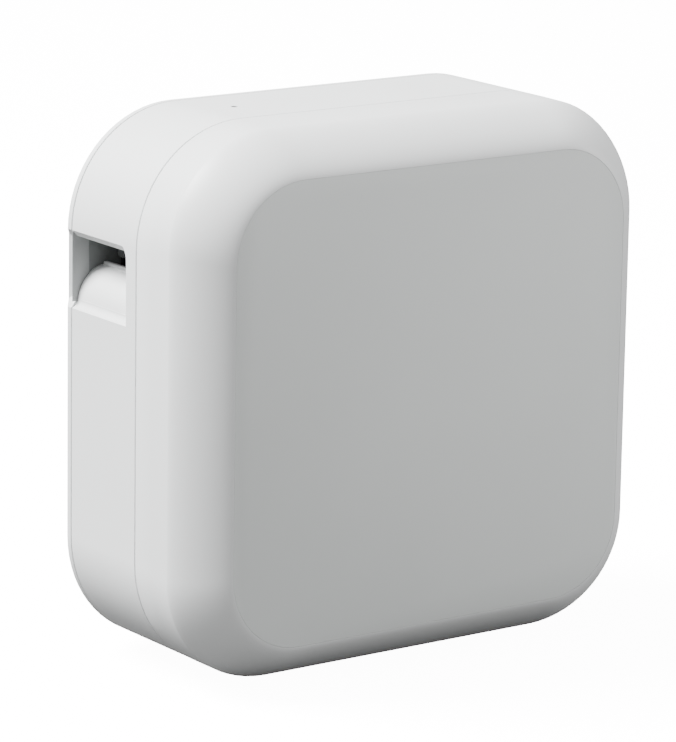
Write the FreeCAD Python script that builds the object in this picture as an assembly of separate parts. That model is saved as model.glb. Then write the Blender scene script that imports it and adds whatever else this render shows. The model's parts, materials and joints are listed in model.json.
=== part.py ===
import FreeCAD, Part
import math
import os

# Compact label maker, millimetres. +X is to the right seen from the front, the front faces -Y, +Z is up.
# The origin is at the centre of the footprint, on the surface that the rubber feet stand on.

V = FreeCAD.Vector

# ---- overall size ----
width = 115.0
depth = 61.0
height = 115.0
foot_height = 1.4
wall = 2.2
corner_radius = 24.65

# ---- casing: front rim, seams, domed back ----
rim_length = 11.05
rim_step = 0.3
rim_inset = 8.6
rim_power = 1.46
rim_corner_radius = 23.4
corner_rate = 0.826
front_case_length = 22.4
middle_case_length = 24.1
seam_gap = 0.3
cover_band = 1.5
chamfer_angle = 40.0
back_round_length = 2.9
tongue_thickness = 0.95
tongue_length = 2.4
slip_gap = 0.12
panel_thickness = 1.6
panel_gap = 0.08
front_wall = 2.0

# ---- clearances ----
running_gap = 0.05
touch_gap = 0.02
moving_gap = 0.35

# ---- chassis plate and cassette bay ----
chassis_front = -5.4
chassis_thickness = 2.2
bay_wall = 1.3

# ---- tape exit recess and cutter ----
recess_front_setback = 26.1
recess_bottom_rise = 16.2
recess_top_rise = 32.4
recess_depth = 11.0
lever_radius = 7.0
lever_setback = 8.8
lever_wall = 1.6
lever_pin_radius = 1.0
arm_reach = 6.5
arm_angle = 14.0
carriage_thickness = 2.6
blade_thickness = 0.5
guide_radius = 0.9
tape_width = 12.0
tape_thickness = 0.2
tape_rise = 27.2

# ---- platen and head ----
platen_radius = 4.2
shaft_radius = 1.25
head_offset = 24.9
holder_reach = 24.6

# ---- gears ----
gear_module = 0.6
gear_width = 2.6
pinion_teeth = 12
reduction_teeth = 36
reduction_pinion_teeth = 14
idler_teeth = 30
platen_teeth = 18
ribbon_teeth = 32
gear_backlash = 0.12
axle_radius = 1.0
bracket_thickness = 0.8

# ---- cassette ----
cassette_width = 75.0
cassette_height = 51.8
cassette_depth = 17.5
cassette_wall = 1.2
tape_roll_radius = 20.0
film_roll_radius = 10.0
takeup_radius = 6.0
hub_radius = 3.4

# ---- batteries (AAA cells) ----
cell_radius = 5.25
cell_length = 44.5
cell_pitch = 10.8
contact_length = 2.4

# ---- derived places ----
half_w = width / 2
half_h = (height - foot_height) / 2
mid_z = foot_height + half_h
left = -half_w
right = half_w
top = height
y_front = -depth / 2
y_back = depth / 2
y_crease = y_front + rim_length
y_seam = y_front + front_case_length
y_cover = y_seam + middle_case_length
y_shoulder = y_cover + cover_band
y_front_inside = y_front + panel_thickness + panel_gap + front_wall
bay_floor = chassis_front + chassis_thickness
chamfer_length = y_back - back_round_length - y_shoulder
chamfer_slope = math.tan(math.radians(chamfer_angle))
chamfer_depth = chamfer_length * chamfer_slope
back_round = back_round_length / (1 - math.sin(math.radians(chamfer_angle)))

recess_y0 = y_front + recess_front_setback
recess_z0 = mid_z + recess_bottom_rise
recess_z1 = mid_z + recess_top_rise
ceiling_z = recess_z1 - 1.3
recess_x = left + recess_depth
inner_wall_x = recess_x + 1.4
lever_x = left + lever_setback
lever_z = recess_z0 + 1.0
lever_y0 = recess_y0 + moving_gap
lever_y1 = y_cover - 0.1
tape_z = mid_z + tape_rise
tape_y0 = bay_floor + 3.0
tape_y1 = tape_y0 + tape_width
frame_x = lever_x + arm_reach + 2.0
carriage_x0 = frame_x - moving_gap - 0.4 - carriage_thickness
blade_x0 = carriage_x0 - blade_thickness

head_x = left + head_offset
platen_z = tape_z + tape_thickness / 2 + 0.3 + platen_radius
holder_x = head_x + holder_reach
holder_z = platen_z + 2.0
cassette_x0 = head_x - 5.4
cassette_x1 = cassette_x0 + cassette_width
cassette_z1 = tape_z + 1.3
cassette_z0 = cassette_z1 - cassette_height
cassette_y0 = bay_floor + 0.3
cassette_y1 = cassette_y0 + cassette_depth

layer_two = chassis_front - 0.4 - gear_width
layer_one = layer_two - 0.2 - gear_width
bracket_y = layer_one - 0.4 - bracket_thickness


def on_circle(centre, radius, degrees):
    angle = math.radians(degrees)
    return (centre[0] + radius * math.cos(angle), centre[1] + radius * math.sin(angle))


def mesh_distance(teeth_a, teeth_b):
    return gear_module * (teeth_a + teeth_b) / 2


platen_axis = (head_x, platen_z)
idler_axis = on_circle(platen_axis, mesh_distance(platen_teeth, idler_teeth), -90.0)
ribbon_axis = on_circle(idler_axis, mesh_distance(idler_teeth, ribbon_teeth), -6.5)
reduction_axis = on_circle(idler_axis, mesh_distance(idler_teeth, reduction_pinion_teeth), -75.0)
motor_axis = on_circle(reduction_axis, mesh_distance(reduction_teeth, pinion_teeth), -10.0)
tape_roll_axis = (cassette_x0 + 51.5, cassette_z0 + 25.5)
film_roll_axis = (cassette_x0 + 18.0, cassette_z0 + 14.0)

cell_y = bay_floor + 0.35 + cell_radius
rear_cell_y = cell_y + cell_pitch * math.cos(math.radians(30))
cell_low_z = foot_height + wall + 12.4
cell_places = [
    (cell_y, cell_low_z),
    (cell_y, cell_low_z + cell_pitch),
    (rear_cell_y, cell_low_z + cell_pitch / 2),
]
contact_x = cell_length + contact_length
tray_x = contact_x + 0.5 + bay_wall
tray_z0 = cell_low_z - cell_radius - 0.4
tray_z1 = cell_low_z + cell_pitch + cell_radius + 0.4

button_y = 4.0
button_z = mid_z + 26.0
button_radius = 5.5
jack_y = 2.0
jack_z = mid_z - 8.0
jack_hole = 4.0
light_x = left + 31.3
light_y = y_front + 34.3
light_radius = 0.75
board_x0 = motor_axis[0] + 13.0
board_x1 = right - wall - 5.0
board_y = -18.4
board_z0 = mid_z - 30.0
board_z1 = mid_z + 38.0
post_radius = 2.9
low_post_reach = 3.0
low_screw = (30.0, foot_height + wall + post_radius + 0.2)
high_screw = (half_w - 14.5, top - 14.6)
case_screws = [(-low_screw[0], low_screw[1]), low_screw, (-high_screw[0], high_screw[1]), high_screw]

# ---- feet, latch, cutter, holder, cassette and board places that follow from the sizes above ----
foot_x = 24.0
foot_radius = 2.6
foot_seat = 0.5
front_foot_y = y_seam - 3.5
rear_foot_y = y_cover - 5.6

latch_x = 8.0
latch_height = 5.0
latch_travel = 1.5
latch_gap = 0.35
latch_z = top - chamfer_depth - 3.4

ear_y = y_cover - 4.6
guide_y = (tape_y0 - 1.2, tape_y1 + 1.2)
carriage_y = (guide_y[0] - 1.4, guide_y[1] + 1.4)
carriage_z0 = lever_z - 6.0
carriage_z1 = tape_z - 3.0
frame_z0 = recess_z0 - 9.0
frame_z1 = tape_z + 5.4

holder_wall = 1.2
holder_y = (bay_floor + 0.4, tape_y1 + 2.4)
cavity_x0 = head_x - 3.6
cavity_x1 = head_x + 4.0
cavity_z0 = tape_z - 8.0
cassette_split = cassette_y0 + 9.5

board_width = board_x1 - board_x0
switch_x = right - wall - 7.0
switch_half = 2.2
jack_half = 4.8
light_board_z = top - wall - 6.4


# ---- small helpers ----
def box(x0, x1, y0, y1, z0, z1):
    return Part.makeBox(x1 - x0, y1 - y0, z1 - z0, V(x0, y0, z0))


def rod_x(y, z, radius, x0, x1):
    return Part.makeCylinder(radius, x1 - x0, V(x0, y, z), V(1, 0, 0))


def rod_y(x, z, radius, y0, y1):
    return Part.makeCylinder(radius, y1 - y0, V(x, y0, z), V(0, 1, 0))


def rod_z(x, y, radius, z0, z1):
    return Part.makeCylinder(radius, z1 - z0, V(x, y, z0), V(0, 0, 1))


def ring_y(x, z, outer, inner, y0, y1):
    return rod_y(x, z, outer, y0, y1).cut(rod_y(x, z, inner, y0 - 1, y1 + 1))


def prism_y(points, y0, y1):
    corners = [V(x, y0, z) for x, z in points]
    face = Part.Face(Part.makePolygon(corners + corners[:1]))
    return face.extrude(V(0, y1 - y0, 0))


def prism_z(points, z0, z1):
    corners = [V(x, y, z0) for x, y in points]
    face = Part.Face(Part.makePolygon(corners + corners[:1]))
    return face.extrude(V(0, 0, z1 - z0))


def fuse(first, *others):
    shape = first.fuse(list(others))
    return shape.removeSplitter()


def outline(inset, y, radius):
    """Rounded rectangle of the casing, inset from its sides, in the plane at y."""
    w = half_w - inset
    h = half_h - inset
    r = min(radius, w - 1, h - 1)
    d = r * math.sqrt(0.5)
    edges = []
    for sx, sz, turned in ((1, 1, False), (-1, 1, True), (-1, -1, False), (1, -1, True)):
        cx = sx * (w - r)
        cz = mid_z + sz * (h - r)
        side = V(sx * w, y, cz)
        end = V(cx, y, mid_z + sz * h)
        middle = V(cx + sx * d, y, cz + sz * d)
        start, stop = (end, side) if turned else (side, end)
        edges.append(Part.Arc(start, middle, stop).toShape())
    ends = [(e.Vertexes[0].Point, e.Vertexes[-1].Point) for e in edges]
    wire = []
    for i in range(4):
        wire.append(edges[i])
        wire.append(Part.makeLine(ends[i][1], ends[(i + 1) % 4][0]))
    return Part.Wire(wire)


def corner_at(inset):
    return corner_radius - corner_rate * inset


def casing(inset, y0, y1):
    radius = corner_radius - inset
    return Part.makeLoft([outline(inset, y0, radius), outline(inset, y1, radius)], True, True)


def rim_inset_at(y):
    """Superellipse from the crease (widest) to the front panel's edge."""
    share = min(1.0, max(0.0, (y_crease - y) / rim_length))
    inner = max(0.0, 1 - share ** (2 / rim_power))
    return rim_step + rim_inset * (1 - inner ** (rim_power / 2))


def rim_corner_at(inset):
    return rim_corner_radius - corner_rate * (inset - rim_step)


# ---- casing ----
def front_outside():
    sections = []
    for degrees in (0, 15, 30, 45, 60, 75, 90):
        y = y_crease - rim_length * math.sin(math.radians(degrees)) ** rim_power
        inset = rim_inset_at(y)
        sections.append(outline(inset, y, rim_corner_at(inset)))
    rim = Part.makeLoft(sections, True, False)
    side_end = outline(0, y_seam - seam_gap / 2, corner_radius)
    side = Part.makeLoft([sections[0], side_end], True, True)
    return rim.fuse(side)


def front_inside():
    thickness = wall + 0.3
    sections = []
    for share in (0.0, 0.34, 0.67, 1.0):
        y = y_front_inside + share * (y_crease - y_front_inside)
        inset = rim_inset_at(y) + thickness
        sections.append(outline(inset, y, rim_corner_at(inset) - 0.5))
    rim = Part.makeLoft(sections, True, False)
    return rim.fuse(casing(wall + rim_step + 0.3, y_crease - 0.01, y_seam + 1))


def screw_boss(x, z):
    """Low posts grow out of the rim's lower wall, high ones out of the front wall."""
    start = y_crease - low_post_reach if z < mid_z else y_front_inside - 0.5
    boss = rod_y(x, z, post_radius, start, chassis_front)
    return boss.cut(rod_y(x, z, 1.1, chassis_front - 9.0, chassis_front + 1))


def make_front_shell():
    shell = front_outside().cut(front_inside())
    edge = rim_step + rim_inset
    pocket_wires = [
        outline(edge, y_front - 1, rim_corner_at(edge)),
        outline(edge, y_front + panel_thickness, rim_corner_at(edge)),
    ]
    shell = shell.cut(Part.makeLoft(pocket_wires, True, True))
    inner_lip = wall - tongue_thickness - slip_gap
    shell = shell.cut(casing(inner_lip, y_seam - tongue_length, y_seam + 1))
    bosses = [screw_boss(x, z) for x, z in case_screws]
    shell = fuse(shell, *bosses)
    for x in (-foot_x, foot_x):
        shell = shell.cut(rod_z(x, front_foot_y, foot_radius + 0.1, 0, foot_height + foot_seat))
    return shell


def make_front_panel():
    edge = rim_step + rim_inset + panel_gap
    radius = rim_corner_at(edge)
    wires = [outline(edge, y_front, radius), outline(edge, y_front + panel_thickness, radius)]
    return Part.makeLoft(wires, True, True)


def recess_opening():
    """Hole in the left wall: a rising ramp at its foot, a bevel under its top edge."""
    inward = left + wall + 1.5
    points = [
        (left - 1.0, recess_z0 - 0.9),
        (left, recess_z0),
        (left + 1.4, recess_z0 + 1.3),
        (inward, recess_z0 + 1.3),
        (inward, ceiling_z),
        (left + 1.2, ceiling_z),
        (left, recess_z1),
        (left - 1.0, recess_z1 + 1.1),
    ]
    opening = prism_y(points, recess_y0, y_cover + 1)
    rounded = [e for e in opening.Edges if is_front_corner(e)]
    return opening.makeFillet(2.0, rounded) if rounded else opening


def is_front_corner(edge):
    box_of = edge.BoundBox
    level = abs(box_of.ZMax - ceiling_z) < 0.01 and abs(box_of.ZMin - ceiling_z) < 0.01
    return level and abs(box_of.YMax - recess_y0) < 0.01 and box_of.XLength > 1.5


def make_middle_shell():
    y0 = y_seam + seam_gap / 2
    y1 = y_cover - seam_gap / 2
    shell = casing(0, y0, y1).cut(casing(wall, y0 - 1, y1 + 1))
    outer = wall - tongue_thickness
    tongue = casing(outer, y_seam - tongue_length, y0 + 0.5)
    tongue = tongue.cut(casing(wall, y_seam - tongue_length - 1, y0 + 1))
    shell = shell.fuse(tongue)
    shell = shell.cut(recess_opening())
    clear = lever_radius + moving_gap
    shell = shell.cut(rod_y(lever_x, lever_z, clear, recess_y0, y1 + 1))
    # walls of the tape exit recess
    overlap = left + wall - 0.6
    front = box(overlap, inner_wall_x, recess_y0 - 1.4, recess_y0, recess_z0 - 9.0, ceiling_z + 1.4)
    ceiling = box(overlap, inner_wall_x, recess_y0 - 1.4, y1, ceiling_z, ceiling_z + 1.4)
    inner = box(recess_x, inner_wall_x, recess_y0 - 1.4, y1, recess_z0 + 9.6, ceiling_z + 1.4)
    slot_y0 = tape_y0 - 0.8
    slot = box(recess_x - 1, inner_wall_x + 1, slot_y0, tape_y1 + 0.8, tape_z - 1.3, tape_z + 1.6)
    pin_hole = rod_y(lever_x, lever_z, lever_pin_radius, recess_y0 - 3, recess_y0 + 1)
    shell = fuse(shell, front, ceiling, inner).cut(slot).cut(pin_hole)
    # catch rib for the cover latch, inside the top wall
    rib = box(-9, 9, y1 - 5.4, y1 - 3.9, top - wall - 2.2, top - wall + 0.5)
    # ledges that the chassis plate rests on
    ledges = []
    for z in (mid_z - 26.0, mid_z + 10.0):
        x0 = right - wall - 2.2
        ledges.append(box(x0, right - wall + 0.5, bay_floor, bay_floor + 2.0, z - 6, z + 6))
    shell = fuse(shell, rib, *ledges)
    button_hole = rod_x(button_y, button_z, button_radius + moving_gap, right - 5, right + 5)
    inlet = rod_x(jack_y, jack_z, jack_hole, right - 5, right + 5)
    pipe_hole = rod_z(light_x, light_y, light_radius, top - 5, top + 5)
    shell = shell.cut(button_hole).cut(inlet).cut(pipe_hole)
    for x in (-foot_x, foot_x):
        shell = shell.cut(rod_z(x, rear_foot_y, foot_radius + 0.1, 0, foot_height + foot_seat))
    return shell


def back_form(inset, y_start, y_shift):
    """Straight band, straight chamfer, rounded edge and flat back, as one solid."""
    y1 = y_shoulder - y_shift
    y2 = y_back - back_round_length - y_shift
    band = casing(inset, y_start, y1)
    steps = [outline(inset, y1, corner_radius - inset)]
    reach = inset + chamfer_depth
    steps.append(outline(reach, y2, corner_at(reach)))
    chamfer = Part.makeLoft(steps, True, True)
    sections = [steps[1]]
    start = math.radians(chamfer_angle)
    for degrees in (52, 64, 76, 90):
        turn = math.radians(degrees)
        y = y2 + back_round * (math.sin(turn) - math.sin(start))
        level = reach + back_round * (math.cos(start) - math.cos(turn))
        sections.append(outline(level, y, corner_at(level)))
    rounded = Part.makeLoft(sections, True, False)
    return band.fuse([chamfer, rounded])


def make_back_cover():
    y0 = y_cover + seam_gap / 2
    shell = back_form(0, y0, 0).cut(back_form(wall, y0 - 1, wall * 0.62))
    # locating lip that enters the middle casing, left out behind the tape exit recess
    lip_gap = wall + 0.3
    lip = casing(lip_gap, y_cover - 2.0, y0 + 1.2)
    lip = lip.cut(casing(lip_gap + 1.2, y_cover - 3, y0 + 2))
    lip = lip.cut(box(left, left + 20, y_cover - 4, y0, recess_z0 - 12, recess_z1 + 4))
    lip = lip.cut(box(-12, 12, y_cover - 4, y0, top - 8, top))
    root = casing(wall - 0.4, y0, y0 + 1.2).cut(casing(lip_gap + 1.2, y0 - 1, y0 + 2))
    shell = fuse(shell, lip, root)
    # flange that closes the recess, behind the end of the lever
    flange_y = y0 + 0.15
    flange = box(left + 1.5, inner_wall_x, flange_y, flange_y + 1.5, recess_z0 - 9, ceiling_z + 2)
    shell = fuse(shell, flange)
    scoop = prism_y(scoop_side(), y0 - 1, y_back + 1)
    shape = [
        (left - 5, y0 - 2),
        (left + 2.6, y0 - 2),
        (left + 2.6, flange_y),
        (left + 1.2, flange_y + 2.2),
        (left - 5, flange_y + 11.0),
    ]
    scoop = scoop.common(prism_z(shape, recess_z0 - 12, recess_z1 + 12))
    shell = shell.cut(scoop)
    # ribs that hold the cassette down and the cells in
    ribs = []
    rib_end = y_back - wall * 0.62 + 0.2
    for x in (cassette_x0 + 14, cassette_x1 - 14):
        ribs.append(box(x - 0.8, x + 0.8, cassette_y1 + 0.4, rib_end, cassette_z0 + 8, cassette_z1 - 8))
    for x in (-26.0, 26.0):
        z = cell_low_z + cell_pitch / 2
        ribs.append(box(x - 0.8, x + 0.8, rear_cell_y + cell_radius + 0.4, rib_end, z - 4, z + 7))
    shell = fuse(shell, *ribs)
    # window for the latch tab
    window_x = latch_x + latch_gap
    window_z0 = latch_z - 0.6 - latch_height - latch_travel - latch_gap
    window = box(-window_x, window_x, y_cover, y_back + 1, window_z0, latch_z - 0.6 + latch_gap)
    return shell.cut(window)


def scoop_side():
    return [
        (left - 5, recess_z0 - 8.6),
        (left, recess_z0),
        (left + 2.6, recess_z0 + 4.3),
        (left + 6, recess_z0 + 4.3),
        (left + 6, ceiling_z),
        (left + 1.2, ceiling_z),
        (left, recess_z1),
        (left - 5, recess_z1 + 5.4),
    ]


def make_cover_latch():
    """Finger tab in the cover's back, with an arm that reaches the catch rib."""
    face = y_back - 0.5
    tab = box(-latch_x, latch_x, face - 2.0, face, latch_z - 0.6 - latch_height, latch_z - 0.6)
    for i in range(3):
        z = latch_z - 1.9 - i * 1.3
        tab = tab.cut(box(-latch_x + 2, latch_x - 2, face - 0.5, face + 1, z - 0.3, z + 0.3))
    stem = box(-5, 5, face - 4.6, face - 1.6, latch_z - 5.0, latch_z - 2.6)
    post_z1 = top - wall - 2.6
    post_y = face - 4.6
    post = box(-5, 5, post_y - 1.4, post_y + 0.2, latch_z - 5.0, latch_z + 0.2)
    arm = box(-5, 5, y_cover - 6.0, post_y, latch_z - 1.4, latch_z + 0.2)
    hook = box(-5, 5, y_cover - 6.0, y_cover - 4.6, latch_z - 1.4, post_z1 - moving_gap)
    return fuse(tab, stem, post, arm, hook)


# ---- gears ----
def involute(angle):
    return math.tan(angle) - angle


def gear_outline(centre, teeth, phase, y):
    pitch = gear_module * teeth / 2
    base = pitch * math.cos(math.radians(20))
    tip = pitch + gear_module
    root = pitch - 1.25 * gear_module
    half_pitch = math.pi / (2 * teeth) - gear_backlash / (2 * pitch)

    def half_tooth(radius):
        if radius <= base:
            return half_pitch + involute(math.radians(20))
        return half_pitch + involute(math.radians(20)) - involute(math.acos(base / radius))

    def point(radius, angle):
        return V(centre[0] + radius * math.cos(angle), y, centre[1] + radius * math.sin(angle))

    edges = []
    step = 2 * math.pi / teeth
    foot = half_tooth(root)
    for i in range(teeth):
        a = phase + i * step
        rise = [point(r, a - half_tooth(r)) for r in (root, pitch, tip)]
        fall = [point(r, a + half_tooth(r)) for r in (tip, pitch, root)]
        edges.append(Part.Arc(*rise).toShape())
        edges.append(Part.Arc(rise[2], point(tip, a), fall[0]).toShape())
        edges.append(Part.Arc(*fall).toShape())
        next_foot = point(root, a + step - foot)
        edges.append(Part.Arc(fall[2], point(root, a + step / 2), next_foot).toShape())
    return Part.Wire(edges)


def gear(centre, teeth, phase, y0, y1, bore):
    solid = Part.Face(gear_outline(centre, teeth, phase, y0)).extrude(V(0, y1 - y0, 0))
    return solid.cut(rod_y(centre[0], centre[1], bore, y0 - 1, y1 + 1))


def meshed_phase(centre_a, teeth_a, phase_a, centre_b, teeth_b):
    """Phase of gear b that puts its gaps on the teeth of gear a."""
    line = math.atan2(centre_b[1] - centre_a[1], centre_b[0] - centre_a[0])
    step_a = 2 * math.pi / teeth_a
    step_b = 2 * math.pi / teeth_b
    share = ((line - phase_a) / step_a) % 1.0
    return line + math.pi - step_b * (0.5 - share)


motor_phase = 0.0
reduction_phase = meshed_phase(motor_axis, pinion_teeth, motor_phase, reduction_axis, reduction_teeth)
reduction_pinion_phase = 0.0
idler_phase = meshed_phase(
    reduction_axis, reduction_pinion_teeth, reduction_pinion_phase, idler_axis, idler_teeth
)
platen_phase = meshed_phase(idler_axis, idler_teeth, idler_phase, platen_axis, platen_teeth)
ribbon_phase = meshed_phase(idler_axis, idler_teeth, idler_phase, ribbon_axis, ribbon_teeth)
bearing = axle_radius + running_gap


def make_motor_pinion():
    y0 = layer_one
    return gear(motor_axis, pinion_teeth, motor_phase, y0, y0 + gear_width, 0.75)


def make_motor_shaft():
    x, z = motor_axis
    return rod_y(x, z, 0.75, bracket_y + bracket_thickness - 8.0, layer_one + gear_width + 0.2)


def make_reduction_gear():
    x, z = reduction_axis
    wheel_end = layer_one + gear_width
    wheel = gear(reduction_axis, reduction_teeth, reduction_phase, layer_one, wheel_end, bearing)
    wheel = wheel.cut(ring_y(x, z, 9.0, 4.6, layer_one - 1, layer_one + 0.7))
    pinion = gear(
        reduction_axis,
        reduction_pinion_teeth,
        reduction_pinion_phase,
        wheel_end,
        layer_two + gear_width,
        bearing,
    )
    return fuse(wheel, pinion)


def make_idler_gear():
    x, z = idler_axis
    body = gear(idler_axis, idler_teeth, idler_phase, layer_two, layer_two + gear_width, bearing)
    for i in range(5):
        hx, hz = on_circle(idler_axis, 5.0, 72 * i)
        body = body.cut(rod_y(hx, hz, 1.5, layer_two - 1, layer_two + gear_width + 1))
    hub = ring_y(x, z, 1.5, bearing, layer_one, layer_two)
    return fuse(body, hub)


def make_platen_gear():
    return gear(platen_axis, platen_teeth, platen_phase, layer_two, layer_two + gear_width, shaft_radius)


def make_ribbon_drive():
    """Ribbon gear in one piece with the splined spindle that enters the cassette."""
    x, z = ribbon_axis
    y1 = layer_two + gear_width
    body = gear(ribbon_axis, ribbon_teeth, ribbon_phase, layer_two, y1, bearing)
    spindle = rod_y(x, z, 2.1, y1, cassette_y1 - 3.0)
    parts = [spindle]
    for i in range(6):
        rib = box(x - 0.35, x + 0.35, bay_floor + 1.2, cassette_y1 - 4.0, z + 1.5, z + 2.8)
        rib.rotate(V(x, 0, z), V(0, 1, 0), 60 * i)
        parts.append(rib)
    body = fuse(body, *parts)
    return body.cut(rod_y(x, z, bearing, layer_two - 1, cassette_y1 - 6.0))


def make_gear_axles():
    axles = []
    for x, z in (reduction_axis, idler_axis):
        axles.append(rod_y(x, z, axle_radius, bracket_y, bay_floor - 0.4))
    x, z = ribbon_axis
    axles.append(rod_y(x, z, axle_radius, bracket_y, cassette_y1 - 6.5))
    return Part.makeCompound(axles)


bracket_posts = [
    (motor_axis[0] + 13.0, motor_axis[1] - 6.0),
    (reduction_axis[0] - 15.0, reduction_axis[1] - 4.0),
    (idler_axis[0] - 10.4, idler_axis[1] - 10.0),
    (ribbon_axis[0] + 12.8, ribbon_axis[1] + 4.0),
]


def make_motor_bracket():
    x0 = bracket_posts[1][0] - 2.2
    x1 = bracket_posts[3][0] + 2.2
    z0 = motor_axis[1] - 9.5
    z1 = idler_axis[1] + 8.4
    plate = box(x0, x1, bracket_y, bracket_y + bracket_thickness, z0, z1)
    plate = plate.cut(rod_y(motor_axis[0], motor_axis[1], 2.2, bracket_y - 1, layer_one))
    for x, z in (reduction_axis, idler_axis, ribbon_axis):
        plate = plate.cut(rod_y(x, z, axle_radius, bracket_y - 1, layer_one))
    for x, z in bracket_posts:
        plate = plate.cut(rod_y(x, z, 0.9, bracket_y - 1, layer_one))
    return plate


def make_motor():
    x, z = motor_axis
    y1 = bracket_y
    y0 = y_front_inside + 1.2
    can = rod_y(x, z, 7.8, y0, y1)
    flats = box(x - 10, x + 10, y0 - 1, y1 + 1, z - 5.8, z + 5.8)
    can = can.common(flats)
    cap = rod_y(x, z, 2.6, y0 - 0.8, y0)
    boss = rod_y(x, z, 2.1, y1, y1 + 0.8)
    motor = fuse(can, cap, boss)
    return motor.cut(rod_y(x, z, 0.75 + running_gap, y1 - 7.4, y1 + 2))


# ---- chassis ----
def make_chassis_plate():
    inset = wall + 0.2
    plate = casing(inset, chassis_front, bay_floor)
    x0 = left + wall
    plate = plate.cut(box(x0 - 2, inner_wall_x + 0.3, -20, 20, recess_z0 - 9.4, ceiling_z + 1.8))
    # battery bay walls, trimmed by the round corners of the casing
    y1 = y_cover - 3.2
    outer = box(-tray_x, tray_x, chassis_front + 0.5, y1, tray_z0 - bay_wall, tray_z1 + bay_wall)
    inner = box(-tray_x + bay_wall, tray_x - bay_wall, bay_floor, y1 + 5, tray_z0, tray_z1)
    tray = outer.cut(inner).common(casing(inset, chassis_front, y1 + 1))
    plate = fuse(plate, tray)
    # corner posts that guide the cassette
    gap = 0.4
    for x, z in (
        (cassette_x1 + gap, cassette_z0 + 8.0),
        (cassette_x1 + gap, cassette_z1 - 12.0),
    ):
        plate = plate.fuse(box(x, x + 1.4, bay_floor - 0.5, cassette_y1 - 3, z, z + 6.0))
    plate = plate.removeSplitter()
    # openings for the drive
    px, pz = platen_axis
    slot_r = shaft_radius + 0.9
    plate = plate.cut(box(px - slot_r, px + slot_r, -20, 5, pz - slot_r, pz + slot_r + 2.4))
    rx, rz = ribbon_axis
    plate = plate.cut(rod_y(rx, rz, 3.3, -20, 5))
    for x, z in (reduction_axis, idler_axis):
        plate = plate.cut(rod_y(x, z, axle_radius, -20, bay_floor - 0.4))
    for x, z in case_screws:
        plate = plate.cut(rod_y(x, z, 1.4, -20, 5))
    plate = plate.cut(rod_y(holder_x, holder_z, shaft_radius, -20, 5))
    # posts on the front side for the gear bracket and the main board
    posts = []
    for x, z in bracket_posts:
        post = rod_y(x, z, 1.9, bracket_y + bracket_thickness, chassis_front + 0.5)
        posts.append(post.cut(rod_y(x, z, 0.9, bracket_y, chassis_front)))
    for x, z in board_posts:
        post = rod_y(x, z, 2.2, board_y + 1.6, chassis_front + 0.5)
        posts.append(post.cut(rod_y(x, z, 0.9, board_y, chassis_front)))
    return fuse(plate, *posts)


board_posts = [
    (board_x0 + 3.5, board_z0 + 4.0),
    (board_x1 - 3.5, board_z0 + 4.0),
    (board_x0 + 3.5, board_z1 - 4.0),
    (board_x1 - 3.5, board_z1 - 4.0),
]


# ---- tape exit, lever and cutter ----
def make_cutter_lever():
    inner_r = lever_radius - lever_wall
    tube = ring_y(lever_x, lever_z, lever_radius, inner_r, lever_y0, lever_y1)
    ends = [
        rod_y(lever_x, lever_z, lever_radius - 0.1, lever_y0, lever_y0 + 1.5),
        rod_y(lever_x, lever_z, lever_radius - 0.1, lever_y1 - 1.5, lever_y1),
    ]
    body = fuse(tube, *ends)
    # keep the sector that closes the recess
    reach = 12.0
    cut = [(lever_x, lever_z - 2.6)]
    for degrees in (-128, -90, -45, 0, 45, 76):
        cut.append(on_circle((lever_x, lever_z), reach, degrees))
    cut.append((lever_x, lever_z + 2.6))
    body = body.cut(prism_y(cut, lever_y0 - 1, lever_y1 + 1))
    rib_x = lever_x - 1.3
    rib_z = lever_z + lever_radius
    rib = box(rib_x, rib_x + 1.0, lever_y0, lever_y1, rib_z - 1.0, rib_z + 1.0)
    rib = rib.makeFillet(0.3, [e for e in rib.Edges if is_rib_top(e)])
    hubs = [
        rod_y(lever_x, lever_z, 2.3, lever_y0, lever_y0 + 3.0),
        rod_y(lever_x, lever_z, 2.3, lever_y1 - 3.0, lever_y1),
    ]
    arm_y = (lever_y0 + lever_y1) / 2
    arm_hub = rod_y(lever_x, lever_z, 2.3, arm_y - 1.6, arm_y + 1.6)
    tip = on_circle((lever_x, lever_z), arm_reach, -arm_angle)
    nose = rod_y(tip[0], tip[1], 1.4, arm_y - 1.6, arm_y + 1.6)
    arm = box(lever_x, lever_x + arm_reach, arm_y - 1.6, arm_y + 1.6, lever_z - 1.1, lever_z + 1.1)
    arm.rotate(V(lever_x, 0, lever_z), V(0, 1, 0), arm_angle)
    web = box(lever_x - inner_r - 0.5, lever_x, arm_y - 1.6, arm_y + 1.6, lever_z - 1.0, lever_z + 1.0)
    body = fuse(body, rib, arm_hub, nose, arm, web, *hubs)
    return body.cut(rod_y(lever_x, lever_z, lever_pin_radius + running_gap, -40, 40))


def is_rib_top(edge):
    return edge.BoundBox.ZMin > lever_z + lever_radius + 0.9 and edge.BoundBox.YLength > 2


def make_lever_pin():
    return rod_y(lever_x, lever_z, lever_pin_radius, recess_y0 - 1.4, lever_y1 - 0.4)


def coil(axis_start, axis_way, radius, wire, turns, length):
    """Helical spring with closed solid section."""
    pitch = length / turns
    helix = Part.makeHelix(pitch, length, radius)
    circle = Part.Wire(Part.makeCircle(wire, V(radius, 0, 0), V(0, 1, 0)))
    solid = Part.Wire(helix).makePipeShell([circle], True, True)
    turn = FreeCAD.Rotation(V(0, 0, 1), axis_way)
    solid.Placement = FreeCAD.Placement(axis_start, turn)
    return solid


def make_lever_spring():
    y0 = lever_y0 + 3.4
    return coil(V(lever_x, y0, lever_z), V(0, 1, 0), 1.75, 0.25, 4, 3.4)


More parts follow.
